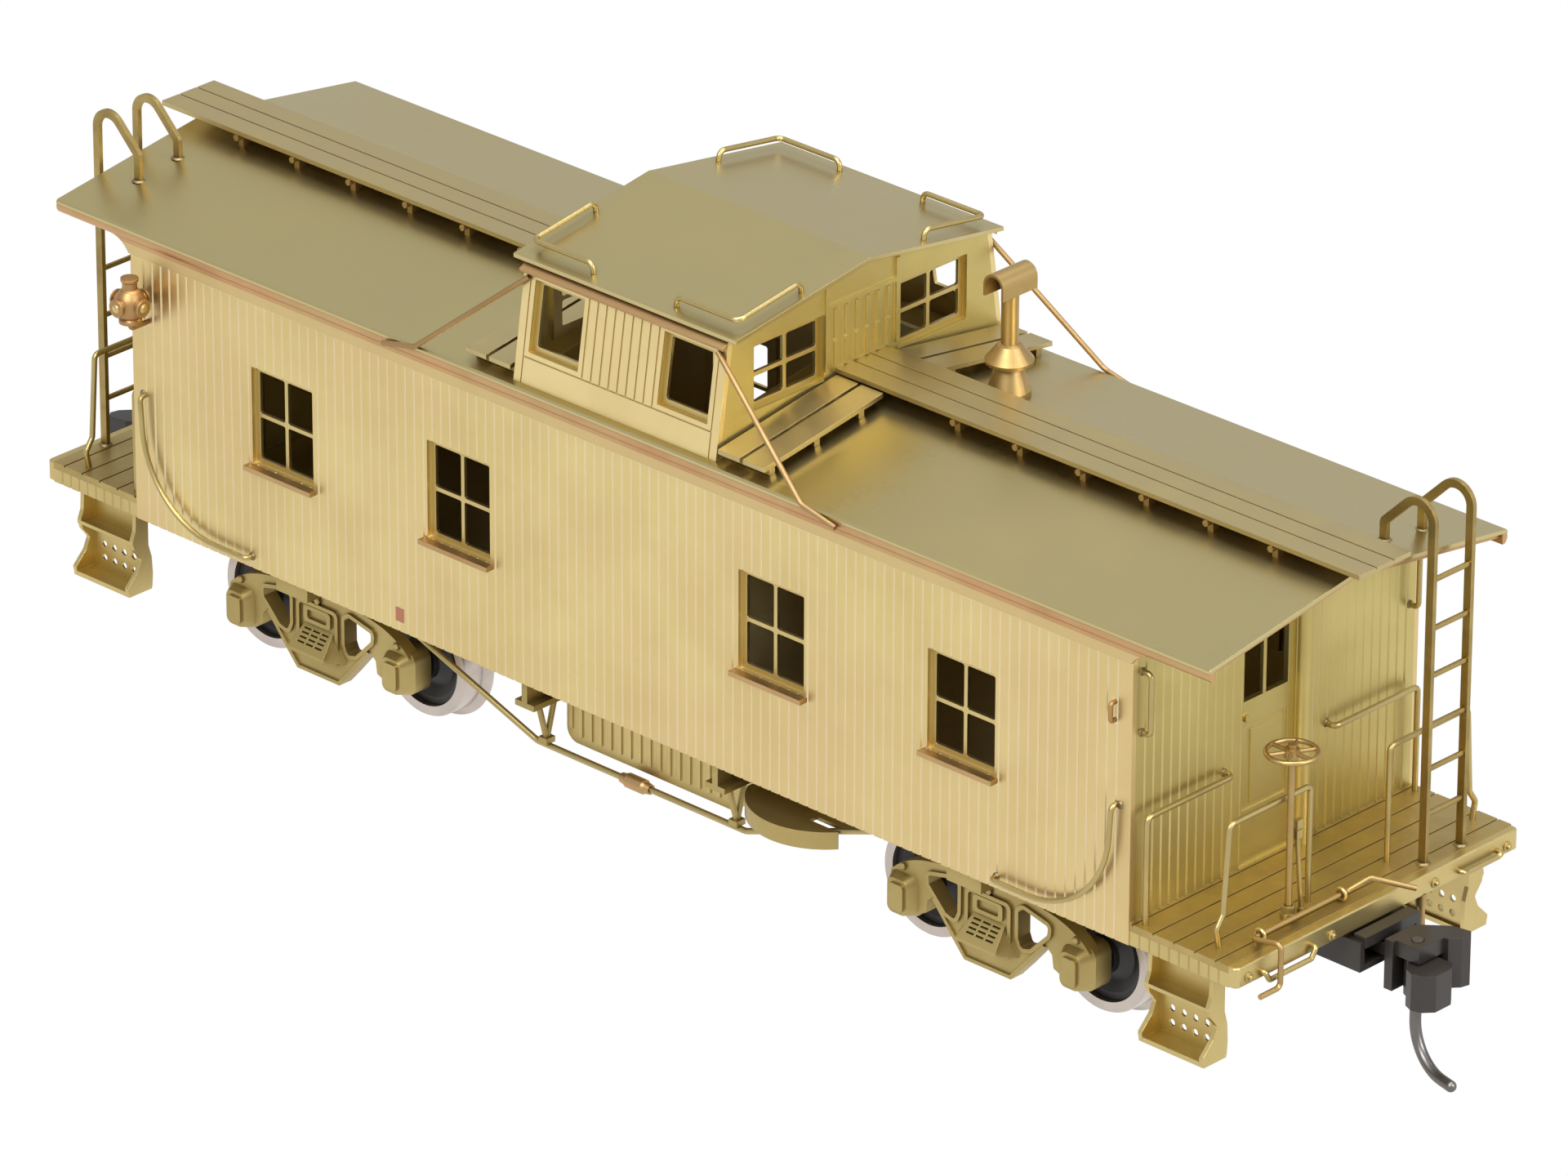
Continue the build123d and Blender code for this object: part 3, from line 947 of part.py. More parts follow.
HOSE_Y = 5.3
HOSE_LEAN = 0.6
HOSE_RADIUS = 0.28
hose_x = beam_face - 0.35
hose_foot = RAIL + 1.6
with BuildPart() as air_hose:
    rod((hose_x, HOSE_Y + HOSE_LEAN, hose_foot), (hose_x, HOSE_Y, beam_bottom), HOSE_RADIUS)
    rod((hose_x, HOSE_Y, beam_bottom - 1.0), (hose_x, HOSE_Y, beam_bottom), HOSE_RADIUS + 0.17)
    rod((hose_x, HOSE_Y + HOSE_LEAN, hose_foot + 0.6), (hose_x, HOSE_Y + HOSE_LEAN - 0.1, hose_foot + 1.9),
        HOSE_RADIUS + 0.12)
    block((hose_x - 0.35, hose_x + 0.45), (HOSE_Y + HOSE_LEAN - 0.3, HOSE_Y + HOSE_LEAN + 0.3),
          (hose_foot - 0.4, hose_foot + 1.0))
save("air_hoses", air_hose.part)

# ======================= hand brakes =======================
staff_x = HALF_LENGTH + STAFF_X
staff_radius = STAFF_WIRE / 2
socket_radius = 0.62
DOG_Z = (RAIL + 19.4, RAIL + 20.9)
with BuildPart() as brake_stand:
    with Locations((staff_x, STAFF_Y, DECK_TOP)):
        Cylinder(socket_radius, 0.5, align=(Align.CENTER, Align.CENTER, Align.MIN))
    with BuildSketch(Plane.XY.offset(DECK_TOP + 0.5)):
        with Locations((staff_x, STAFF_Y)):
            RegularPolygon(socket_radius - 0.04, 6)
    extrude(amount=0.6)
    rod((staff_x, STAFF_Y, DECK_TOP + 0.2), (staff_x, STAFF_Y, DECK_TOP + 2), staff_radius + STAFF_CLEARANCE,
        Mode.SUBTRACT)
dog_foot = (staff_x - 0.1, STAFF_Y + 1.6, DECK_TOP)
dog_top = (staff_x, STAFF_Y + 0.85, DOG_Z[0] + 0.1)
with BuildPart() as brake_dog:
    rod(dog_foot, dog_top, 0.2)
    block((staff_x - 0.3, staff_x + 0.3), (STAFF_Y + 0.5, STAFF_Y + 1.15), (DOG_Z[0], DOG_Z[1] - 0.8))
    block((staff_x - 0.2, staff_x + 0.2), (STAFF_Y + 0.62, STAFF_Y + 1.3), (DOG_Z[1] - 0.8, DOG_Z[1]))
    with Locations((staff_x - 0.1, STAFF_Y + 1.6, DECK_TOP)):
        Cylinder(0.35, 0.3, align=(Align.CENTER, Align.CENTER, Align.MIN))
    block((staff_x - 1, staff_x + 1), (STAFF_Y + 0.5, STAFF_Y + 2.5), (DECK_TOP - 1, DECK_TOP), Mode.SUBTRACT)
save("brake_stands", gather("brake_stands", both_ends([brake_stand.part, brake_dog.part])))

SPOKE_RADIUS = 0.17
RIM_WIRE = 0.4
rim_radius = BRAKE_WHEEL_RADIUS - RIM_WIRE / 2
with BuildPart() as brake_wheel:
    with BuildSketch(Plane.XZ) as staff_profile:
        with BuildLine():
            Polyline((0, DECK_TOP + 0.35), (staff_radius, DECK_TOP + 0.35),
                     (staff_radius, BRAKE_WHEEL_HEIGHT - 0.6), (0.6, BRAKE_WHEEL_HEIGHT - 0.4),
                     (0.6, BRAKE_WHEEL_HEIGHT + 0.3), (0.35, BRAKE_WHEEL_HEIGHT + 0.35),
                     (0.35, BRAKE_WHEEL_HEIGHT + 0.7), (0, BRAKE_WHEEL_HEIGHT + 0.7), close=True)
        make_face()
    revolve(axis=Axis.Z)
    for k in range(BRAKE_SPOKES):
        turn = 2 * pi * k / BRAKE_SPOKES
        rod((0.4 * cos(turn), 0.4 * sin(turn), BRAKE_WHEEL_HEIGHT),
            (rim_radius * cos(turn), rim_radius * sin(turn), BRAKE_WHEEL_HEIGHT), SPOKE_RADIUS)
    with Locations((0, 0, BRAKE_WHEEL_HEIGHT)):
        Torus(rim_radius, RIM_WIRE / 2)
brake_wheel_part = brake_wheel.part.moved(Location((staff_x, STAFF_Y, 0)))
save("brake_wheel_front", brake_wheel_part)
save("brake_wheel_rear", brake_wheel_part.rotate(Axis.Z, 180))

# ======================= cut levers =======================
handle_y = LEVER_EYES[0] - 0.9
handle_x = beam_face + 1.1
cut_lever = bent_wire([(LEVER_X + 3.5, 2.3, LEVER_Z), (LEVER_X + 1.0, -0.2, LEVER_Z + 0.95),
                       (LEVER_X, -1.6, LEVER_Z), (LEVER_X, handle_y, LEVER_Z),
                       (handle_x, handle_y, LEVER_Z + 0.55), (handle_x, handle_y, LEVER_Z - 3.05),
                       (handle_x, handle_y - 2.3, LEVER_Z - 3.05)], LEVER_WIRE, 0.45)
save("cut_lever_front", cut_lever)
save("cut_lever_rear", cut_lever.rotate(Axis.Z, 180))

# ======================= trucks =======================
frame_outer = FRAME_INNER + FRAME_SHEET
AXLE_TIP = frame_outer - 0.5
journal_x = WHEELBASE / 2
spring_top = RAIL + 5.8
SHELF_REACH = 1.6
with BuildPart() as side_frame:
    with BuildSketch(Plane.XZ.offset(FRAME_INNER)) as frame_face:
        with BuildLine():
            top_arch = Spline((-10.4, RAIL + 6.4), (-8.3, RAIL + 7.85), (-3.5, RAIL + 8.75), (0, RAIL + 8.85),
                              (3.5, RAIL + 8.75), (8.3, RAIL + 7.85), (10.4, RAIL + 6.4))
            Polyline((10.4, RAIL + 6.4), (10.35, RAIL + 3.4), (7.8, RAIL + 3.4), (6.7, RAIL + 3.85),
                     (6.54, RAIL + 4.95), (5.96, RAIL + 5.48), (3.74, RAIL + 2.85), (2.45, RAIL + 1.4),
                     (-2.45, RAIL + 1.4), (-3.74, RAIL + 2.85), (-5.96, RAIL + 5.48), (-6.54, RAIL + 4.95),
                     (-6.7, RAIL + 3.85), (-7.8, RAIL + 3.4), (-10.35, RAIL + 3.4), (-10.4, RAIL + 6.4))
        make_face()
    extrude(amount=FRAME_SHEET)
    for side in (-1, 1):
        opening = [(side * 3.17, RAIL + 5.26), (side * 3.16, RAIL + 7.6), (side * 3.65, RAIL + 7.95),
                   (side * 6.29, RAIL + 7.36), (side * 6.2, RAIL + 6.6), (side * 4.39, RAIL + 4.73),
                   (side * 3.5, RAIL + 4.5)]
        with BuildSketch(Plane.XZ.offset(frame_outer)) as window_rim:
            with BuildLine():
                Polyline(*opening, close=True)
            make_face()
            fillet(window_rim.vertices(), 0.3)
        with BuildSketch(Plane.XZ.offset(frame_outer)) as window_band:
            add(window_rim.sketch)
            offset(amount=0.35)
        extrude(window_band.sketch, amount=0.22)
        with BuildSketch(Plane.XZ.offset(FRAME_INNER - 0.1)) as window_hole:
            with BuildLine():
                Polyline(*opening, close=True)
            make_face()
            fillet(window_hole.vertices(), 0.3)
        extrude(window_hole.sketch, amount=FRAME_SHEET + 0.5, mode=Mode.SUBTRACT)
        # Journal box: stepped front, lid, and a blind bore for the axle's journal.
        middle = side * journal_x
        with BuildSketch(Plane.XZ.offset(FRAME_INNER - 1.0)) as box_body:
            with Locations((middle, AXLE_HEIGHT)):
                RectangleRounded(3.3, 3.9, 1.0)
        extrude(box_body.sketch, amount=FRAME_SHEET + 0.6)
        with BuildSketch(Plane.XZ.offset(frame_outer - 0.4)) as box_base:
            with Locations((middle, AXLE_HEIGHT)):
                RectangleRounded(3.3, 3.9, 1.0)
        with BuildSketch(Plane.XZ.offset(BOX_FACE)) as box_front:
            with Locations((middle, AXLE_HEIGHT - 0.1)):
                RectangleRounded(2.1, 3.0, 0.6)
        loft([box_base.sketch, box_front.sketch])
        with BuildSketch(Plane.XZ.offset(BOX_FACE)) as box_lid_face:
            with Locations((middle, AXLE_HEIGHT - 0.1)):
                RectangleRounded(1.5, 2.3, 0.35)
        extrude(box_lid_face.sketch, amount=0.22)
        rod((middle, -FRAME_INNER + 2, AXLE_HEIGHT), (middle, -AXLE_TIP - AXLE_END_PLAY, AXLE_HEIGHT),
            JOURNAL_RADIUS + JOURNAL_CLEARANCE, Mode.SUBTRACT)
    # Bolster end: a raised border with a pad above the spring group.
    with BuildSketch(Plane.XZ.offset(frame_outer)) as bolster_border:
        with Locations((0, RAIL + 5.45)):
            RectangleRounded(4.8, 4.9, 0.6)
            RectangleRounded(4.1, 4.2, 0.35, mode=Mode.SUBTRACT)
        with Locations((0, RAIL + 6.75)):
            RectangleRounded(3.1, 1.5, 0.35)
            RectangleRounded(2.2, 0.8, 0.2, mode=Mode.SUBTRACT)
    extrude(bolster_border.sketch, amount=0.25)
    with BuildSketch(Plane.XZ.offset(frame_outer)) as shelf_back:
        with BuildLine():
            Polyline((-1.6, spring_top), (1.6, spring_top), (3.2, RAIL + 3.5), (-3.2, RAIL + 3.5), close=True)
        make_face()
    with BuildSketch(Plane.XZ.offset(frame_outer + SHELF_REACH)) as shelf_lip:
        with BuildLine():
            Polyline((-2.1, RAIL + 4.05), (2.1, RAIL + 4.05), (2.1, RAIL + 3.75), (-2.1, RAIL + 3.75), close=True)
        make_face()
    loft([shelf_back.sketch, shelf_lip.sketch], ruled=True)
    for x in (-1.0, 0.0, 1.0):
        for k in range(4):
            z = RAIL + 4.5 + k * 0.3
            block((x - 0.4, x + 0.4), (-frame_outer - SHELF_REACH, -frame_outer - 0.02), (z, z + 0.12),
                  Mode.SUBTRACT)
    # A raised rim runs along the foot of the frame.
    plate(Plane.XZ.offset(frame_outer),
          [(5.96, RAIL + 5.48), (3.74, RAIL + 2.85), (2.45, RAIL + 1.4), (-2.45, RAIL + 1.4),
           (-3.74, RAIL + 2.85), (-5.96, RAIL + 5.48), (-5.6, RAIL + 5.55), (-3.5, RAIL + 3.1),
           (-2.3, RAIL + 1.72), (2.3, RAIL + 1.72), (3.5, RAIL + 3.1), (5.6, RAIL + 5.55)], 0.18)
with BuildPart() as truck_bolster:
    block((-BOLSTER_WIDTH / 2, BOLSTER_WIDTH / 2), (-FRAME_INNER + BOLSTER_FIT, FRAME_INNER - BOLSTER_FIT),
          (BOLSTER_TOP - BOLSTER_DEPTH, BOLSTER_TOP))
    rod((0, 0, BOLSTER_TOP - BOLSTER_DEPTH - 1), (0, 0, BOLSTER_TOP + 1), SCREW_RADIUS + SWIVEL_CLEARANCE,
        Mode.SUBTRACT)
truck_shapes = mirrored([side_frame.part], Plane.XZ) + [truck_bolster.part]
for end_name, centre in (("front", TRUCK_CENTRE), ("rear", -TRUCK_CENTRE)):
    truck_name = f"truck_frames_{end_name}"
    save(truck_name, gather(truck_name, [shape.moved(Location((centre, 0, 0))) for shape in truck_shapes]))

# ======================= wheelsets =======================
flange_radius = TREAD_RADIUS + FLANGE_DEPTH
plate_y = (WHEEL_BACK + 0.5, WHEEL_FACE - 0.55)
with BuildPart() as rim:
    with BuildSketch(Plane.XY) as rim_profile:
        with BuildLine():
            Polyline((PLATE_RADIUS, -WHEEL_FACE), (TREAD_RADIUS - 0.1, -WHEEL_FACE),
                     (TREAD_RADIUS - 0.02, -WHEEL_FACE + 0.15), (TREAD_RADIUS, -WHEEL_BACK - FLANGE_WIDTH),
                     (flange_radius - 0.12, -WHEEL_BACK - 0.42), (flange_radius, -WHEEL_BACK - 0.25),
                     (flange_radius - 0.1, -WHEEL_BACK), (PLATE_RADIUS, -WHEEL_BACK), close=True)
        make_face()
    revolve(axis=Axis.Y)
with BuildPart() as axle:
    with BuildSketch(Plane.XY) as axle_profile:
        with BuildLine():
            Polyline((0, -AXLE_TIP), (JOURNAL_RADIUS - 0.2, -AXLE_TIP), (JOURNAL_RADIUS, -AXLE_TIP + 0.3),
                     (JOURNAL_RADIUS, -WHEEL_FACE - 0.15), (1.5, -WHEEL_FACE - 0.15), (1.6, -WHEEL_FACE + 0.3),
                     (2.6, -WHEEL_FACE + 0.9), (3.3, -plate_y[1]), (PLATE_RADIUS - 0.02, -plate_y[1]),
                     (PLATE_RADIUS - 0.02, -plate_y[0]), (3.3, -plate_y[0]), (2.4, -WHEEL_BACK - 0.9),
                     (1.6, -WHEEL_BACK - 0.3), (1.5, -WHEEL_BACK + 0.3), (AXLE_RADIUS, -WHEEL_BACK + 0.3),
                     (AXLE_RADIUS, 0), (0, 0), close=True)
        make_face()
        mirror(about=Plane.XZ)
    revolve(axis=Axis.Y)
wheelset_x = (TRUCK_CENTRE + journal_x, TRUCK_CENTRE - journal_x, journal_x - TRUCK_CENTRE,
              -journal_x - TRUCK_CENTRE)
for number, x in enumerate(wheelset_x, start=1):
    place = Location((x, 0, AXLE_HEIGHT))
    save(f"wheel_rims_{number}", gather("rims", [shape.moved(place) for shape in mirrored([rim.part], Plane.XZ)]))
    save(f"axle_{number}", axle.part.moved(place))

# ======================= couplers =======================
head_x = HALF_LENGTH + HEAD_REACH
SHANK_HALF = 1.1
SHANK_Z = (RAIL + 8.9, RAIL + 10.0)
KNUCKLE_Z = (RAIL + 6.2, RAIL + 9.3)
HEAD_TOP = RAIL + 10.7
HEAD_BOTTOM = RAIL + 6.5
plate_z = KNUCKLE_Z[1] + 0.1
with BuildPart() as coupler:
    block((pivot_x, head_x - 1.8), (-SHANK_HALF, SHANK_HALF), SHANK_Z)
    rod((pivot_x, 0, SHANK_Z[0]), (pivot_x, 0, SHANK_Z[1]), 1.65)
    rod((pivot_x, 0, SHANK_Z[0] - 1), (pivot_x, 0, SHANK_Z[1] + 1), PIVOT_POST + 0.06, Mode.SUBTRACT)
    block((head_x - 1.9, head_x - 1.1), (-1.6, 1.6), (HEAD_BOTTOM, HEAD_TOP))
    block((head_x - 1.6, head_x + 1.2), (-1.2, 1.9), (plate_z, HEAD_TOP))
    plate(Plane.XY.offset(HEAD_BOTTOM),
          [(head_x - 1.9, 1.3), (head_x - 1.2, 1.3), (head_x + 1.6, 1.7), (head_x + 2.3, 2.5),
           (head_x + 2.5, 3.3), (head_x + 2.0, 3.9), (head_x + 0.4, 3.6), (head_x - 1.9, 1.7)],
          HEAD_TOP - HEAD_BOTTOM)
    rod((head_x, 0, plate_z - 1), (head_x, 0, HEAD_TOP + 1), PIN_RADIUS + 0.06, Mode.SUBTRACT)
    block((head_x - 2.4, head_x - 1.8), (-0.5, 0.5), (HEAD_BOTTOM, SHANK_Z[0] + 0.1))
save("coupler_front", coupler.part)
save("coupler_rear", coupler.part.rotate(Axis.Z, 180))

with BuildPart() as knuckle:
    plate(Plane.XY.offset(KNUCKLE_Z[0]),
          [(head_x, -0.95), (head_x + 0.8, -2.2), (head_x + 1.6, -2.55), (head_x + 2.5, -2.3),
           (head_x + 3.2, -1.5), (head_x + 3.2, 0.3), (head_x + 2.7, 0.95), (head_x + 1.8, 1.0), (head_x, 0.95)],
          KNUCKLE_Z[1] - KNUCKLE_Z[0])
    rod((head_x, 0, KNUCKLE_Z[0]), (head_x, 0, KNUCKLE_Z[1]), 1.0)
    rod((head_x, 0, KNUCKLE_Z[0] - 1), (head_x, 0, KNUCKLE_Z[1] + 1), PIN_RADIUS + 0.02, Mode.SUBTRACT)
save("knuckle_front", knuckle.part)
save("knuckle_rear", knuckle.part.rotate(Axis.Z, 180))

TRIP_REACH = (4.7, -1.2)
TRIP_BEND = 3.6
trip_z = RAIL + PIN_RADIUS - 0.15
pin_end = (head_x + TRIP_REACH[0], TRIP_REACH[1], trip_z)
with BuildPart() as trip_pin:
    add(bent_wire([(head_x, 0, HEAD_TOP + 0.05), (head_x, 0, trip_z), pin_end], 2 * PIN_RADIUS, TRIP_BEND))
    with Locations(pin_end):
        Sphere(PIN_RADIUS)
save("trip_pin_front", trip_pin.part)
save("trip_pin_rear", trip_pin.part.rotate(Axis.Z, 180))
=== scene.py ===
"""Looks for a brass model railway caboose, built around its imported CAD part."""

import logging
import math
from dataclasses import dataclass
from enum import Enum

import bmesh
import bpy
from mathutils import Matrix, Vector


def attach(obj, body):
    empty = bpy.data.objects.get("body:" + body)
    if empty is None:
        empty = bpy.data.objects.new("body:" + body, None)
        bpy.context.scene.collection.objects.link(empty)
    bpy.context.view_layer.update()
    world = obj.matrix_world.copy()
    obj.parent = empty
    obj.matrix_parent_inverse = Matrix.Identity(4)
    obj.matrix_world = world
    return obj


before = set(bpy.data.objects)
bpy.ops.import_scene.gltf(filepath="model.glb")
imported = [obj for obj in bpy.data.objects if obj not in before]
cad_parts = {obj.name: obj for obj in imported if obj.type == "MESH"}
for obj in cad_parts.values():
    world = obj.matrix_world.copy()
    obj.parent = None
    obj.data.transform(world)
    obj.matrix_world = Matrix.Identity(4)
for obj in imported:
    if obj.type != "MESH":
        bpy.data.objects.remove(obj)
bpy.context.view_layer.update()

MM = 0.001
# The rail's top, above the lowest point of the wheel flanges.
RAIL = 0.64
# Half the length and the width of the car's body.
HALF_LENGTH = 54.5
HALF_WIDTH = 16.5
# Edges sharper than this many degrees stay sharp on the fine pieces.
SMOOTH_ANGLE = 35.0
# How much of the shade colour is left in the painted shade of a corner.
CORNER_SHADE_TINT = 0.42
# How strongly a finish's lower band covers the colour above it.
BAND_SHARE = 0.85
# Faces round a bolt's or nut's head.
HEXAGON = 6
# The height at which the lights aim.
AIM_HEIGHT = 20.0
log = logging.getLogger("caboose")


class Slot(Enum):
    """The record's material slots."""

    BRASS = "brass"
    COPPER = "copper_brass"
    NICKEL = "nickel_silver"
    PLASTIC = "black_plastic"
    STEEL = "steel"


@dataclass(frozen=True)
class Finish:
    """One surface finish. Lengths are in millimetres and colours are sRGB hex."""

    name: str
    base: str
    shade: str
    roughness: float
    metallic: float = 1.0
    mottle: float = 9.0
    mottle_share: float = 0.35
    grain: float = 0.35
    grain_height: float = 0.004
    stain: str = ""
    stain_share: float = 0.0
    edge: float = 0.06
    # Colour, strength and reach of the painted shade in corners and grooves, or of a painted highlight there
    # when the colour is light.
    corner: str = ""
    corner_share: float = 0.55
    corner_reach: float = 1.1
    band: str = ""
    band_top: float = 0.0


# Rolled sheet of the sides: pale, with a faint rosy bloom and a painted highlight in its grooves.
SIDE = Finish("side_brass", "#E2CC8F", "#CBB274", 0.4, stain="#DAB68C", stain_share=0.3, corner="#FFF8D8",
              corner_share=1.0, corner_reach=0.35)
# Cupola sides: the same sheet, painted a little brighter to stand in for the light falling on them.
CUPOLA = Finish("cupola_brass", "#EDD79C", "#D6BF82", 0.38, corner_share=0.3)
# End walls and doors: a little darker and greener than the sides, with a painted highlight in their grooves.
END = Finish("end_brass", "#CBBA78", "#B09B5C", 0.42, corner="#EFE2A8", corner_share=0.6, corner_reach=0.35)
# Roof sheets: smoother and cooler.
ROOF = Finish("roof_brass", "#CDBD88", "#B5A36A", 0.29, mottle=22.0, grain_height=0.001, corner_share=0.45)
# Decks and treads: darker.
DECK = Finish("deck_brass", "#BEA76C", "#97804A", 0.42, mottle=4.0, mottle_share=0.5, corner_share=0.2)
# Running boards and walks: close to the roof, with dull planks.
BOARD = Finish("board_brass", "#C6B482", "#A89562", 0.38, mottle=6.0, grain_height=0.001, corner_share=0.2)
# Underframe and other cast or etched pieces.
CAST = Finish("cast_brass", "#B9A46A", "#8F7B44", 0.43, metallic=0.92, grain=0.6, grain_height=0.006)
# Window sashes, steps and the equipment box: rubbed bright.
SASH = Finish("sash_brass", "#D3BE82", "#B39C5C", 0.38, grain=0.6, grain_height=0.003, corner_share=0.35)
# Drawn wire.
WIRE = Finish("wire_brass", "#BDAA74", "#97834E", 0.4, mottle=5.0, grain_height=0.0, edge=0.0)
# Ladders: browned by the soldering iron.
LADDER = Finish("ladder_brass", "#B29C64", "#836C3C", 0.4, mottle=3.0, mottle_share=0.6, grain_height=0.0,
                edge=0.03)
# Brake wheels, levers, hose and the smoke jack: brass with a slight copper bloom.
LEVER = Finish("lever_brass", "#B79C66", "#917447", 0.44, mottle=4.0, grain_height=0.0, stain="#BC9068",
               stain_share=0.35, edge=0.0)
# Brace rods of the cupola: browned copper brass.
ROD = Finish("rod_brass", "#AF9062", "#8A6B40", 0.52, mottle=4.0, grain_height=0.0, edge=0.0)
# Copper-tinted sills and visors.
COPPER = Finish("copper_brass", "#C4A070", "#A47C50", 0.42, mottle=6.0, grain_height=0.001, stain="#C8AE78",
                stain_share=0.4)
# Marker lamps: turned, and dulled by heat.
LAMP = Finish("lamp_brass", "#BD9765", "#9A7045", 0.46, mottle=3.0, grain_height=0.001, stain="#B8A06A",
              stain_share=0.4)
# Letterboards of plain brass under an eave moulding of copper tint.
EAVE = Finish("eave_brass", "#CDA274", "#AD8255", 0.4, mottle=6.0, stain="#CBB27C", stain_share=0.45,
              corner_share=0.35, band_top=RAIL + 35.7, band="#D8C188")
# Turned wheel rims.
NICKEL = Finish("nickel_rim", "#CBBFB5", "#A2978D", 0.27, mottle=4.0, grain_height=0.001)
# Moulded wheel plates and axles.
PLATE = Finish("black_plate", "#211D1B", "#151312", 0.42, metallic=0.0, grain_height=0.002)
# Moulded couplers with a satin skin.
MOULDED = Finish("black_coupler", "#2A2521", "#1B1715", 0.32, metallic=0.0, grain_height=0.001)
# Blackened steel of the trip pins and screws.
STEEL = Finish("steel_pin", "#7A7672", "#575452", 0.4, mottle=3.0, grain_height=0.0)
# Copper plug let into the side wall.
PLUG = Finish("copper_plug", "#C08468", "#A8705A", 0.4, mottle=2.0, corner_share=0.1)
# Dull solder left at joints.
SOLDER = Finish("solder", "#9A8A66", "#6B5D45", 0.45, mottle=2.0, grain_height=0.002)


def linear(hex_colour: str) -> tuple:
    """Turn an sRGB hex colour into a linear RGBA tuple.

    Args:
        hex_colour: A colour such as "#C0A060".

    Returns:
        Linear red, green, blue and an alpha of one.
    """
    parts = [int(hex_colour[i:i + 2], 16) / 255 for i in (1, 3, 5)]
    return tuple(c / 12.92 if c <= 0.04045 else ((c + 0.055) / 1.055) ** 2.4 for c in parts) + (1.0,)


def add_node(tree: bpy.types.NodeTree, kind: str, **values) -> bpy.types.Node:
    """Add one shader node.

    Args:
        tree: The node tree.
        kind: The node's type name.
        values: Attributes, or sockets by name with spaces as underscores.

    Returns:
        The new node. A socket given as a value is linked, and anything else is set on the socket.
    """
    node = tree.nodes.new(kind)
    for key, value in values.items():
        if hasattr(node, key):
            setattr(node, key, value)
            continue
        socket = node.inputs[int(key[1:])] if key[1:].isdigit() else node.inputs[key.replace("_", " ")]
        if isinstance(value, bpy.types.NodeSocket):
            tree.links.new(value, socket)
        else:
            socket.default_value = value
    return node


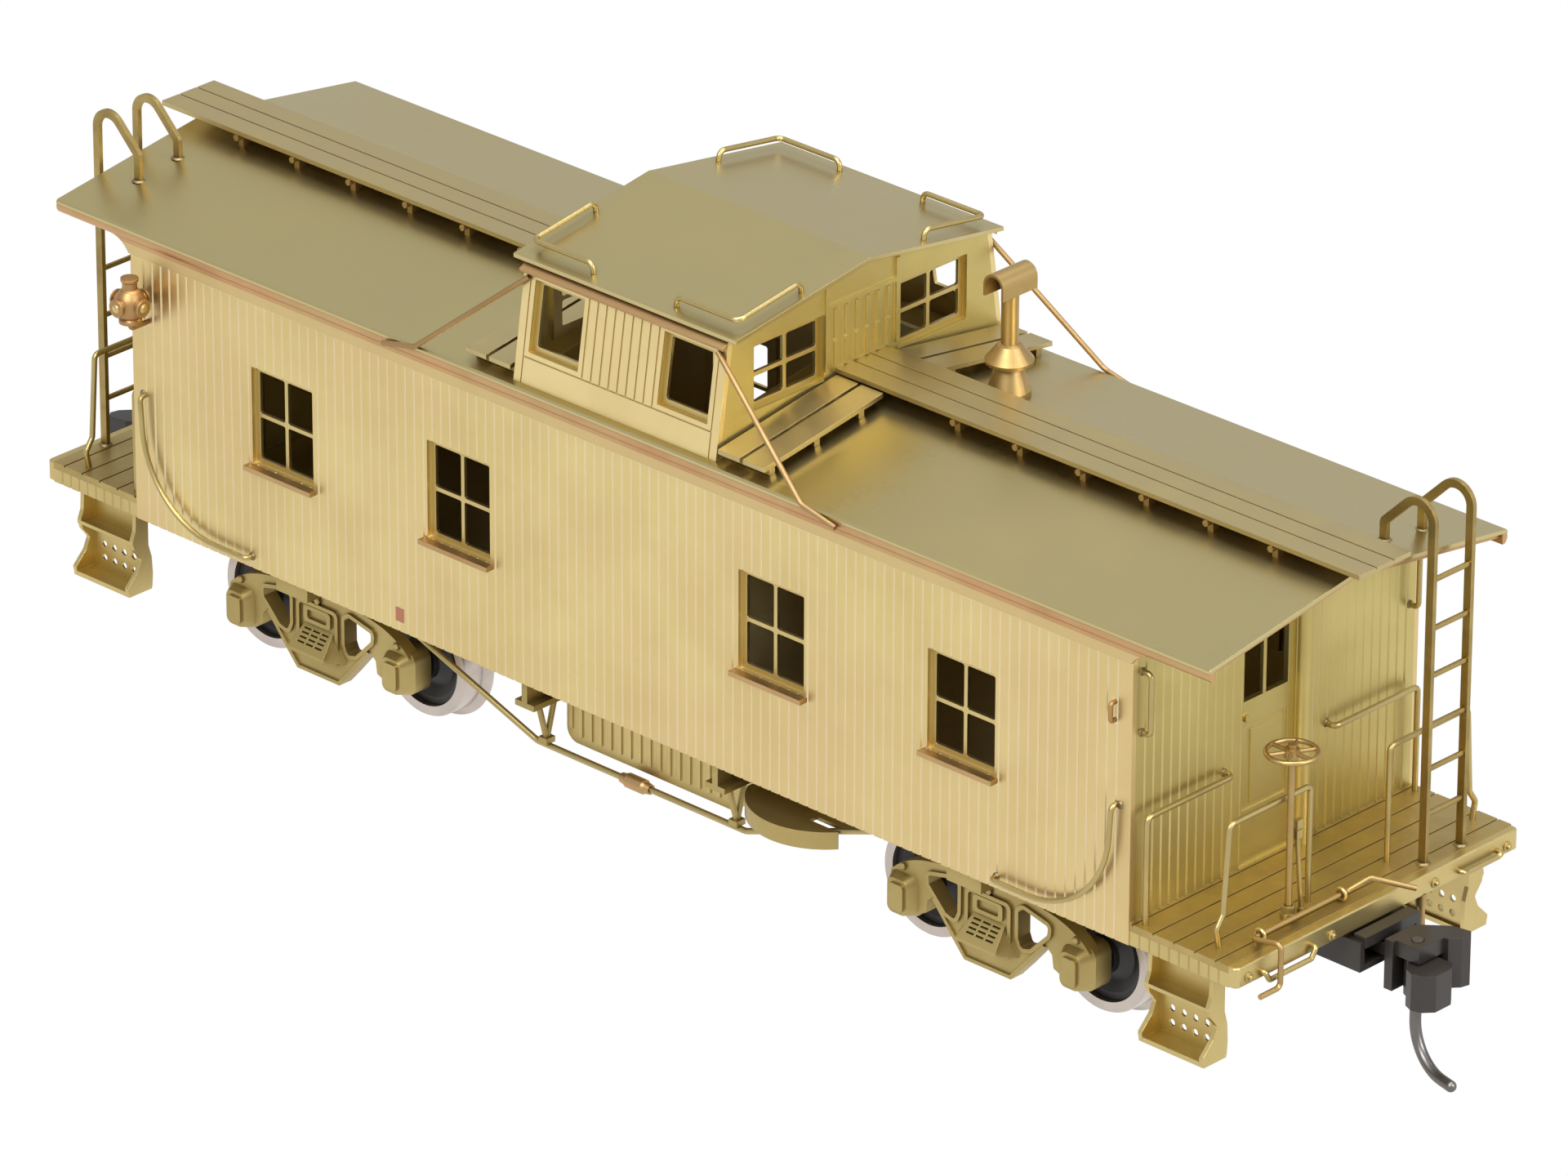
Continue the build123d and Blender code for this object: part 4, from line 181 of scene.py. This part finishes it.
class Paintshop:
    """Makes each finish once and puts it on objects."""

    def __init__(self) -> None:
        self.made: dict = {}

    def material(self, finish: Finish) -> bpy.types.Material:
        """Return the material of a finish, made on first use.

        Args:
            finish: The finish.

        Returns:
            The Blender material.
        """
        if finish.name in self.made:
            return self.made[finish.name]
        material = bpy.data.materials.new(finish.name)
        material.use_nodes = True
        tree = material.node_tree
        tree.nodes.clear()
        output = add_node(tree, "ShaderNodeOutputMaterial")
        place = add_node(tree, "ShaderNodeTexCoord").outputs["Object"]
        # Broad cloudiness between the base and the shade colour.
        cloud = add_node(tree, "ShaderNodeTexNoise", Vector=place, Scale=1000 / finish.mottle, Detail=4.0,
                         Roughness=0.6)
        cloud_share = add_node(tree, "ShaderNodeMapRange", Value=cloud.outputs[0], From_Min=0.35,
                               From_Max=0.7, To_Min=0.0, To_Max=finish.mottle_share)
        colour = add_node(tree, "ShaderNodeMix", data_type="RGBA", _0=cloud_share.outputs[0],
                          _6=linear(finish.base), _7=linear(finish.shade)).outputs[2]
        if finish.stain:
            bloom = add_node(tree, "ShaderNodeTexNoise", Vector=place, Scale=1000 / (finish.mottle * 3),
                             Detail=3.0, Roughness=0.7)
            bloom_share = add_node(tree, "ShaderNodeMapRange", Value=bloom.outputs[0], From_Min=0.42,
                                   From_Max=0.62, To_Min=0.0, To_Max=finish.stain_share)
            colour = add_node(tree, "ShaderNodeMix", data_type="RGBA", _0=bloom_share.outputs[0],
                              _6=colour, _7=linear(finish.stain)).outputs[2]
        if finish.band:
            height = add_node(tree, "ShaderNodeSeparateXYZ", Vector=place).outputs["Z"]
            below = add_node(tree, "ShaderNodeMath", operation="LESS_THAN", _0=height,
                             _1=finish.band_top * MM)
            share = add_node(tree, "ShaderNodeMath", operation="MULTIPLY", _0=below.outputs[0],
                             _1=BAND_SHARE)
            colour = add_node(tree, "ShaderNodeMix", data_type="RGBA", _0=share.outputs[0], _6=colour,
                              _7=linear(finish.band)).outputs[2]
        # Corners and grooves found by ambient occlusion get painted shade, or a painted highlight where the
        # finish gives a light corner colour.
        corner = add_node(tree, "ShaderNodeAmbientOcclusion", Distance=finish.corner_reach * MM, samples=6)
        painted_corner_share = add_node(tree, "ShaderNodeMapRange", Value=corner.outputs["AO"], From_Min=0.25,
                           From_Max=0.9, To_Min=finish.corner_share, To_Max=0.0)
        painted_shade_colour = tuple(CORNER_SHADE_TINT * c for c in linear(finish.shade)[:3]) + (1.0,)
        colour = add_node(tree, "ShaderNodeMix", data_type="RGBA", _0=painted_corner_share.outputs[0], _6=colour,
                          _7=linear(finish.corner) if finish.corner else painted_shade_colour).outputs[2]
        grain = add_node(tree, "ShaderNodeTexNoise", Vector=place, Scale=1000 / finish.grain, Detail=2.0)
        rough = add_node(tree, "ShaderNodeMapRange", Value=cloud.outputs[0], From_Min=0.3, From_Max=0.7,
                         To_Min=finish.roughness - 0.05, To_Max=finish.roughness + 0.08)
        bump = add_node(tree, "ShaderNodeBump", Strength=0.5, Distance=finish.grain_height * MM,
                        Height=grain.outputs[0])
        if finish.edge:
            edge = add_node(tree, "ShaderNodeBevel", samples=4, Radius=finish.edge * MM)
            tree.links.new(edge.outputs[0], bump.inputs["Normal"])
        shader = add_node(tree, "ShaderNodeBsdfPrincipled", Base_Color=colour, Metallic=finish.metallic,
                          Roughness=rough.outputs[0], Normal=bump.outputs[0])
        tree.links.new(shader.outputs[0], output.inputs["Surface"])
        self.made[finish.name] = material
        return material

    def dress(self, nodes: tuple, finish: Finish) -> None:
        """Put a finish on CAD nodes.

        Args:
            nodes: The nodes' names.
            finish: The finish that they get.
        """
        for name in nodes:
            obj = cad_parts[name]
            obj.data.materials.clear()
            obj.data.materials.append(self.material(finish))

    def piece(self, name: str, mesh: bmesh.types.BMesh, finish: Finish, body: str) -> None:
        """Turn a mesh in millimetres into a named piece that rides on a body.

        Args:
            name: The piece's name.
            mesh: The mesh, which is freed.
            finish: Its finish.
            body: The CAD body that carries it.
        """
        bmesh.ops.scale(mesh, vec=(MM, MM, MM), verts=mesh.verts)
        bmesh.ops.recalc_face_normals(mesh, faces=mesh.faces)
        data = bpy.data.meshes.new(name)
        mesh.to_mesh(data)
        mesh.free()
        for polygon in data.polygons:
            polygon.use_smooth = True
        data.set_sharp_from_angle(angle=math.radians(SMOOTH_ANGLE))
        data.materials.append(self.material(finish))
        obj = bpy.data.objects.new(name, data)
        bpy.context.scene.collection.objects.link(obj)
        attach(obj, body)
        log.info("built %s: %d faces", name, len(data.polygons))


def spin_profile(mesh: bmesh.types.BMesh, profile: tuple, place: Vector, axis: Vector,
                 steps: int = 20) -> None:
    """Add a turned shape.

    Args:
        mesh: The mesh to add to, in millimetres.
        profile: (radius, height) pairs from the foot upwards.
        place: Where the foot's centre is.
        axis: The direction of the shape's height.
        steps: Faces round the shape.
    """
    before = set(mesh.verts)
    outline = ((0.0, profile[0][1]),) + profile + ((0.0, profile[-1][1]),)
    points = [mesh.verts.new((radius, 0.0, height)) for radius, height in outline]
    lines = [mesh.edges.new(pair) for pair in zip(points, points[1:])]
    bmesh.ops.spin(mesh, geom=points + lines, cent=(0, 0, 0), axis=(0, 0, 1), angle=2 * math.pi, steps=steps,
                   use_merge=True)
    bmesh.ops.remove_doubles(mesh, verts=list(set(mesh.verts) - before), dist=1e-4)
    turn = Vector((0, 0, 1)).rotation_difference(axis.normalized()).to_matrix().to_4x4()
    bmesh.ops.transform(mesh, matrix=Matrix.Translation(place) @ turn, verts=list(set(mesh.verts) - before))


def box_mesh(mesh: bmesh.types.BMesh, xs: tuple, ys: tuple, zs: tuple) -> None:
    """Add a box.

    Args:
        mesh: The mesh to add to, in millimetres.
        xs: Its two limits along x.
        ys: Its two limits along y.
        zs: Its two limits along z.
    """
    size = Vector((xs[1] - xs[0], ys[1] - ys[0], zs[1] - zs[0]))
    middle = Vector((sum(xs) / 2, sum(ys) / 2, sum(zs) / 2))
    bmesh.ops.create_cube(mesh, size=1.0, matrix=Matrix.Translation(middle) @ Matrix.Diagonal(size).to_4x4())


def both_hands(point: tuple) -> tuple:
    """Copy a point to the other end of the car.

    Args:
        point: A point at the front end.

    Returns:
        The point, and its copy turned half a turn about the vertical axis.
    """
    x, y, z = point
    return ((x, y, z), (-x, -y, z))


def corners(point: tuple) -> tuple:
    """Copy a point to all four corners of the car.

    Args:
        point: A point at one corner.

    Returns:
        The point and its three mirror images.
    """
    x, y, z = point
    return tuple((a * x, b * y, z) for a in (1, -1) for b in (1, -1))


@dataclass
class BodyShell:
    """Side and end walls, doors, flues, windows, and the joints' solder."""

    solder_radius: float = 0.36
    solder_steps: int = 12
    end_rail_feet: tuple = ((5.9, RAIL + 21.9), (15.4, RAIL + 28.7), (15.4, RAIL + 33.8))
    side_rail_feet: tuple = ((53.4, RAIL + 22.6), (40.9, RAIL + 12.1))
    plug_place: tuple = (-23.9, 13.2)
    plug_half: tuple = (0.45, 0.6)
    plug_proud: float = 0.03
    plug_depth: float = 0.1

    def dress(self, shop: Paintshop) -> None:
        """Put the finishes on the shell's nodes.

        Args:
            shop: Where the finishes come from.
        """
        shop.dress(("side_wall_right", "side_wall_left"), SIDE)
        shop.dress(("end_walls", "end_doors", "end_flues"), END)
        shop.dress(("window_sashes",), SASH)
        shop.dress(("window_sills",), COPPER)
        shop.dress(("floor_plate",), CAST)

    def build(self, shop: Paintshop) -> None:
        """Add the solder at the feet of the wire rails, and the plug in the right wall.

        Args:
            shop: Where the finishes come from.
        """
        r = self.solder_radius
        blob = ((r, 0.0), (r * 0.95, 0.05), (r * 0.7, 0.12))
        mesh = bmesh.new()
        for y, z in self.end_rail_feet:
            for place in corners((HALF_LENGTH, y, z)):
                spin_profile(mesh, blob, Vector(place), Vector((place[0], 0, 0)), self.solder_steps)
        for x, z in self.side_rail_feet:
            for place in corners((x, HALF_WIDTH, z)):
                spin_profile(mesh, blob, Vector(place), Vector((0, place[1], 0)), self.solder_steps)
        shop.piece("wall_solder", mesh, SOLDER, "car_body")
        plug = bmesh.new()
        x, z = self.plug_place
        across, tall = self.plug_half
        sheet = (-HALF_WIDTH - self.plug_proud, -HALF_WIDTH + self.plug_depth)
        box_mesh(plug, (x - across, x + across), sheet, (z - tall, z + tall))
        shop.piece("wall_plug", plug, PLUG, "car_body")


@dataclass
class RoofWork:
    """Main roof, eaves, running boards, walks and the smoke jack."""

    def dress(self, shop: Paintshop) -> None:
        """Put the finishes on the roof's nodes.

        Args:
            shop: Where the finishes come from.
        """
        shop.dress(("main_roof", "cupola_roof"), ROOF)
        shop.dress(("eave_boards",), EAVE)
        shop.dress(("running_boards", "lateral_walks"), BOARD)
        shop.dress(("board_saddles", "smoke_jack"), LEVER)


@dataclass
class Cupola:
    """Cupola walls, sashes, visors, grab rails and brace rods."""

    def dress(self, shop: Paintshop) -> None:
        """Put the finishes on the cupola's nodes.

        Args:
            shop: Where the finishes come from.
        """
        shop.dress(("cupola_sides",), CUPOLA)
        shop.dress(("cupola_ends",), END)
        shop.dress(("cupola_sashes",), SASH)
        shop.dress(("cupola_visors",), COPPER)
        shop.dress(("brace_rods",), ROD)
        shop.dress(("roof_grab_rails",), WIRE)


@dataclass
class MarkerLamps:
    """The two lamps at the rear corners, with a ring and a bull's-eye on each lens."""

    x: float = -52.6
    y: float = 18.45
    lens_height: float = RAIL + 31.55
    lens_reach: float = 1.5
    lens_radius: float = 0.62
    lenses: int = 4
    ring_sink: float = 0.12
    ring_steps: int = 28
    eye_steps: int = 24

    def dress(self, shop: Paintshop) -> None:
        """Put the finish on the lamps' node.

        Args:
            shop: Where the finishes come from.
        """
        shop.dress(("marker_lamps",), LAMP)

    def build(self, shop: Paintshop) -> None:
        """Add a ring and a bull's-eye to each of the lamps' lenses.

        Args:
            shop: Where the finishes come from.
        """
        rings = bmesh.new()
        eyes = bmesh.new()
        r = self.lens_radius
        ring = ((r + 0.02, 0), (r + 0.16, 0.08), (r + 0.16, 0.2), (r + 0.02, 0.27), (r - 0.18, 0.24))
        eye = ((r - 0.2, 0.2), (r - 0.3, 0.32), (r - 0.48, 0.4))
        for side in (-1, 1):
            for k in range(self.lenses):
                angle = k * 2 * math.pi / self.lenses
                axis = Vector((math.cos(angle), math.sin(angle), 0))
                middle = Vector((self.x, side * self.y, self.lens_height))
                foot = middle + axis * (self.lens_reach - self.ring_sink)
                spin_profile(rings, ring, foot, axis, self.ring_steps)
                spin_profile(eyes, eye, foot, axis, self.eye_steps)
        shop.piece("lamp_rings", rings, LAMP, "car_body")
        shop.piece("lamp_eyes", eyes, SASH, "car_body")


@dataclass
class Platforms:
    """Decks, beams, steps, railings, ladders, brakes and levers at both ends."""

    beam_face: float = 65.3
    nut_height: float = RAIL + 11.75
    nut_places: tuple = (-15.0, -5.5, 6.5, 15.0)
    washer_radius: float = 0.42
    stile_places: tuple = (6.7, 11.1)
    stile_x: float = 63.9
    deck_top: float = RAIL + 12.9
    hook_x: float = 59.1
    ridge_height: float = RAIL + 39.7
    roof_slope: float = 2.5 / 17.06
    solder_sink: float = 0.02
    solder_steps: int = 16

    def dress(self, shop: Paintshop) -> None:
        """Put the finishes on the platforms' nodes.

        Args:
            shop: Where the finishes come from.
        """
        shop.dress(("platform_decks",), DECK)
        shop.dress(("end_beams", "steps"), SASH)
        shop.dress(("brake_stands",), CAST)
        shop.dress(("ladder_stiles", "ladder_rungs"), LADDER)
        shop.dress(("end_railings", "grab_irons"), WIRE)
        shop.dress(("brake_wheel_front", "brake_wheel_rear", "cut_lever_front", "cut_lever_rear"), LEVER)
        shop.dress(("air_hoses",), LEVER)

    def build(self, shop: Paintshop) -> None:
        """Add nut and washer castings to the end beams, and solder at the ladders' feet and hooks.

        Args:
            shop: Where the finishes come from.
        """
        mesh = bmesh.new()
        r = self.washer_radius
        washer = ((r, 0), (r, 0.08), (r * 0.8, 0.12))
        nut = ((r * 0.55, 0.05), (r * 0.55, 0.3), (r * 0.4, 0.36))
        for y in self.nut_places:
            for place in both_hands((self.beam_face, y, self.nut_height)):
                axis = Vector((place[0], 0, 0))
                spin_profile(mesh, washer, Vector(place), axis, 20)
                spin_profile(mesh, nut, Vector(place), axis, HEXAGON)
        shop.piece("beam_nuts", mesh, CAST, "car_body")
        solder = bmesh.new()
        pool = ((0.6, 0), (0.54, 0.06), (0.44, 0.15))
        for y in self.stile_places:
            on_roof = (self.hook_x, y, self.ridge_height - self.roof_slope * y - self.solder_sink)
            for foot in ((self.stile_x, y, self.deck_top), on_roof):
                for place in both_hands(foot):
                    spin_profile(solder, pool, Vector(place), Vector((0, 0, 1)), self.solder_steps)
        shop.piece("ladder_solder", solder, SOLDER, "car_body")


@dataclass
class Underframe:
    """Sills, beams, truss rods and the equipment hung below the floor."""

    def dress(self, shop: Paintshop) -> None:
        """Put the finishes on the underframe's nodes.

        Args:
            shop: Where the finishes come from.
        """
        shop.dress(("centre_sill", "needle_beams", "underfloor_pan", "body_bolsters"), CAST)
        shop.dress(("equipment_box",), SASH)
        shop.dress(("turnbuckles",), COPPER)
        shop.dress(("truss_rods",), WIRE)
        shop.dress(("king_screws",), STEEL)


@dataclass
class Trucks:
    """Truck frames with bolt heads, and the wheelsets."""

    centre: float = 37.0
    journal: float = 9.05
    face: float = 12.9
    journal_bolt_height: float = RAIL + 7.15
    bolster_bolt_height: float = RAIL + 8.2

    def dress(self, shop: Paintshop) -> None:
        """Put the finishes on the trucks and wheelsets.

        Args:
            shop: Where the finishes come from.
        """
        shop.dress(("truck_frames_front", "truck_frames_rear"), CAST)
        for number in (1, 2, 3, 4):
            shop.dress((f"wheel_rims_{number}",), NICKEL)
            shop.dress((f"axle_{number}",), PLATE)

    def build(self, shop: Paintshop) -> None:
        """Add the bolt heads above each journal box and on the bolster end.

        Args:
            shop: Where the finishes come from.
        """
        bolt = ((0.34, -0.02), (0.34, 0.22), (0.24, 0.3))
        places = ((-self.journal, self.journal_bolt_height), (self.journal, self.journal_bolt_height),
                  (0, self.bolster_bolt_height))
        for end, centre in (("front", self.centre), ("rear", -self.centre)):
            mesh = bmesh.new()
            for side in (-1, 1):
                for x, z in places:
                    place = Vector((centre + x, side * self.face, z))
                    spin_profile(mesh, bolt, place, Vector((0, side, 0)), HEXAGON)
            shop.piece(f"truck_bolts_{end}", mesh, CAST, f"truck_{end}")


@dataclass
class Couplers:
    """Draft boxes, coupler heads, knuckles and trip pins."""

    def dress(self, shop: Paintshop) -> None:
        """Put the finishes on the couplers' nodes.

        Args:
            shop: Where the finishes come from.
        """
        shop.dress(("coupler_boxes",), MOULDED)
        for end in ("front", "rear"):
            shop.dress((f"coupler_{end}", f"knuckle_{end}"), MOULDED)
        shop.dress(("trip_pin_front", "trip_pin_rear"), STEEL)


@dataclass
class Studio:
    """Floor, lights and camera. Places are in millimetres."""

    floor_half: float = 3000.0
    floor_drop: float = 0.02
    sensor_width: float = 36.0
    far_clip: float = 50.0
    camera_place: tuple = (551.26, -577.56, 401.76)
    azimuth: float = 43.52
    elevation: float = 25.68
    roll: float = 0.19
    lens: float = 256.04
    room_tint: tuple = (0.95, 0.97, 1.0, 1)
    room_strength: float = 0.62
    # Each light's name, centre, side and power in watts.
    lights: tuple = (("key_light", (180, -640, 700), 420, 7.0),
                     ("top_light", (60, 60, 800), 500, 5.0),
                     ("end_light", (700, 120, 420), 320, 4.0))

    def floor(self) -> None:
        """Add the white floor, which camera and glossy rays see as evenly lit."""
        mesh = bmesh.new()
        half = self.floor_half * MM
        mesh.faces.new([mesh.verts.new((x, y, -self.floor_drop * MM)) for x, y in
                        ((-half, -half), (half, -half), (half, half), (-half, half))])
        data = bpy.data.meshes.new("floor")
        mesh.to_mesh(data)
        mesh.free()
        obj = bpy.data.objects.new("floor", data)
        bpy.context.scene.collection.objects.link(obj)
        material = bpy.data.materials.new("floor_white")
        material.use_nodes = True
        tree = material.node_tree
        tree.nodes.clear()
        rays = add_node(tree, "ShaderNodeLightPath")
        seen = add_node(tree, "ShaderNodeMath", operation="MAXIMUM", _0=rays.outputs["Is Camera Ray"],
                        _1=rays.outputs["Is Glossy Ray"])
        glow = add_node(tree, "ShaderNodeEmission", Color=(1, 1, 1, 1), Strength=1.0)
        matt = add_node(tree, "ShaderNodeBsdfDiffuse", Color=(0.8, 0.8, 0.8, 1))
        both = add_node(tree, "ShaderNodeMixShader", _0=seen.outputs[0], _1=matt.outputs[0],
                        _2=glow.outputs[0])
        output = add_node(tree, "ShaderNodeOutputMaterial")
        tree.links.new(both.outputs[0], output.inputs["Surface"])
        data.materials.append(material)

    def world(self) -> None:
        """Light the room evenly, and show it white to the camera."""
        world = bpy.data.worlds.new("room")
        world.use_nodes = True
        tree = world.node_tree
        tree.nodes.clear()
        rays = add_node(tree, "ShaderNodeLightPath")
        room = add_node(tree, "ShaderNodeBackground", Color=self.room_tint, Strength=self.room_strength)
        white = add_node(tree, "ShaderNodeBackground", Color=(1, 1, 1, 1), Strength=1.0)
        both = add_node(tree, "ShaderNodeMixShader", _0=rays.outputs["Is Camera Ray"], _1=room.outputs[0],
                        _2=white.outputs[0])
        output = add_node(tree, "ShaderNodeOutputWorld")
        tree.links.new(both.outputs[0], output.inputs["Surface"])
        bpy.context.scene.world = world

    def softbox(self, name: str, place: tuple, size: float, power: float) -> None:
        """Add one square area light aimed at the car.

        Args:
            name: The light's name.
            place: Its centre, in millimetres.
            size: The length of its side, in millimetres.
            power: Its power in watts.
        """
        light = bpy.data.lights.new(name, "AREA")
        light.size = size * MM
        light.energy = power
        obj = bpy.data.objects.new(name, light)
        obj.location = Vector(place) * MM
        obj.rotation_euler = (Vector((0, 0, AIM_HEIGHT)) - Vector(place)).to_track_quat("-Z", "Y").to_euler()
        bpy.context.scene.collection.objects.link(obj)

    def camera(self) -> None:
        """Place the camera high off the near right corner."""
        data = bpy.data.cameras.new("camera")
        data.lens = self.lens
        data.sensor_width = self.sensor_width
        data.clip_end = self.far_clip
        obj = bpy.data.objects.new("camera", data)
        obj.matrix_world = (Matrix.Translation(Vector(self.camera_place) * MM)
                            @ Matrix.Rotation(math.radians(self.azimuth), 4, "Z")
                            @ Matrix.Rotation(math.radians(90 - self.elevation), 4, "X")
                            @ Matrix.Rotation(math.radians(self.roll), 4, "Z"))
        bpy.context.scene.collection.objects.link(obj)
        bpy.context.scene.camera = obj

    def build(self) -> None:
        """Set the whole studio."""
        self.floor()
        self.world()
        for light in self.lights:
            self.softbox(*light)
        self.camera()
        bpy.context.scene.view_settings.view_transform = "Standard"


def main() -> None:
    """Dress the CAD nodes, add the fine pieces and set the studio."""
    shop = Paintshop()
    for part in (BodyShell(), RoofWork(), Cupola(), MarkerLamps(), Platforms(), Underframe(), Trucks(),
                 Couplers()):
        part.dress(shop)
        if hasattr(part, "build"):
            part.build(shop)
        log.info("dressed %s", type(part).__name__)
    Studio().build()


if __name__ == "__main__":
    logging.basicConfig(level=logging.INFO, format="%(name)s: %(message)s")
    main()
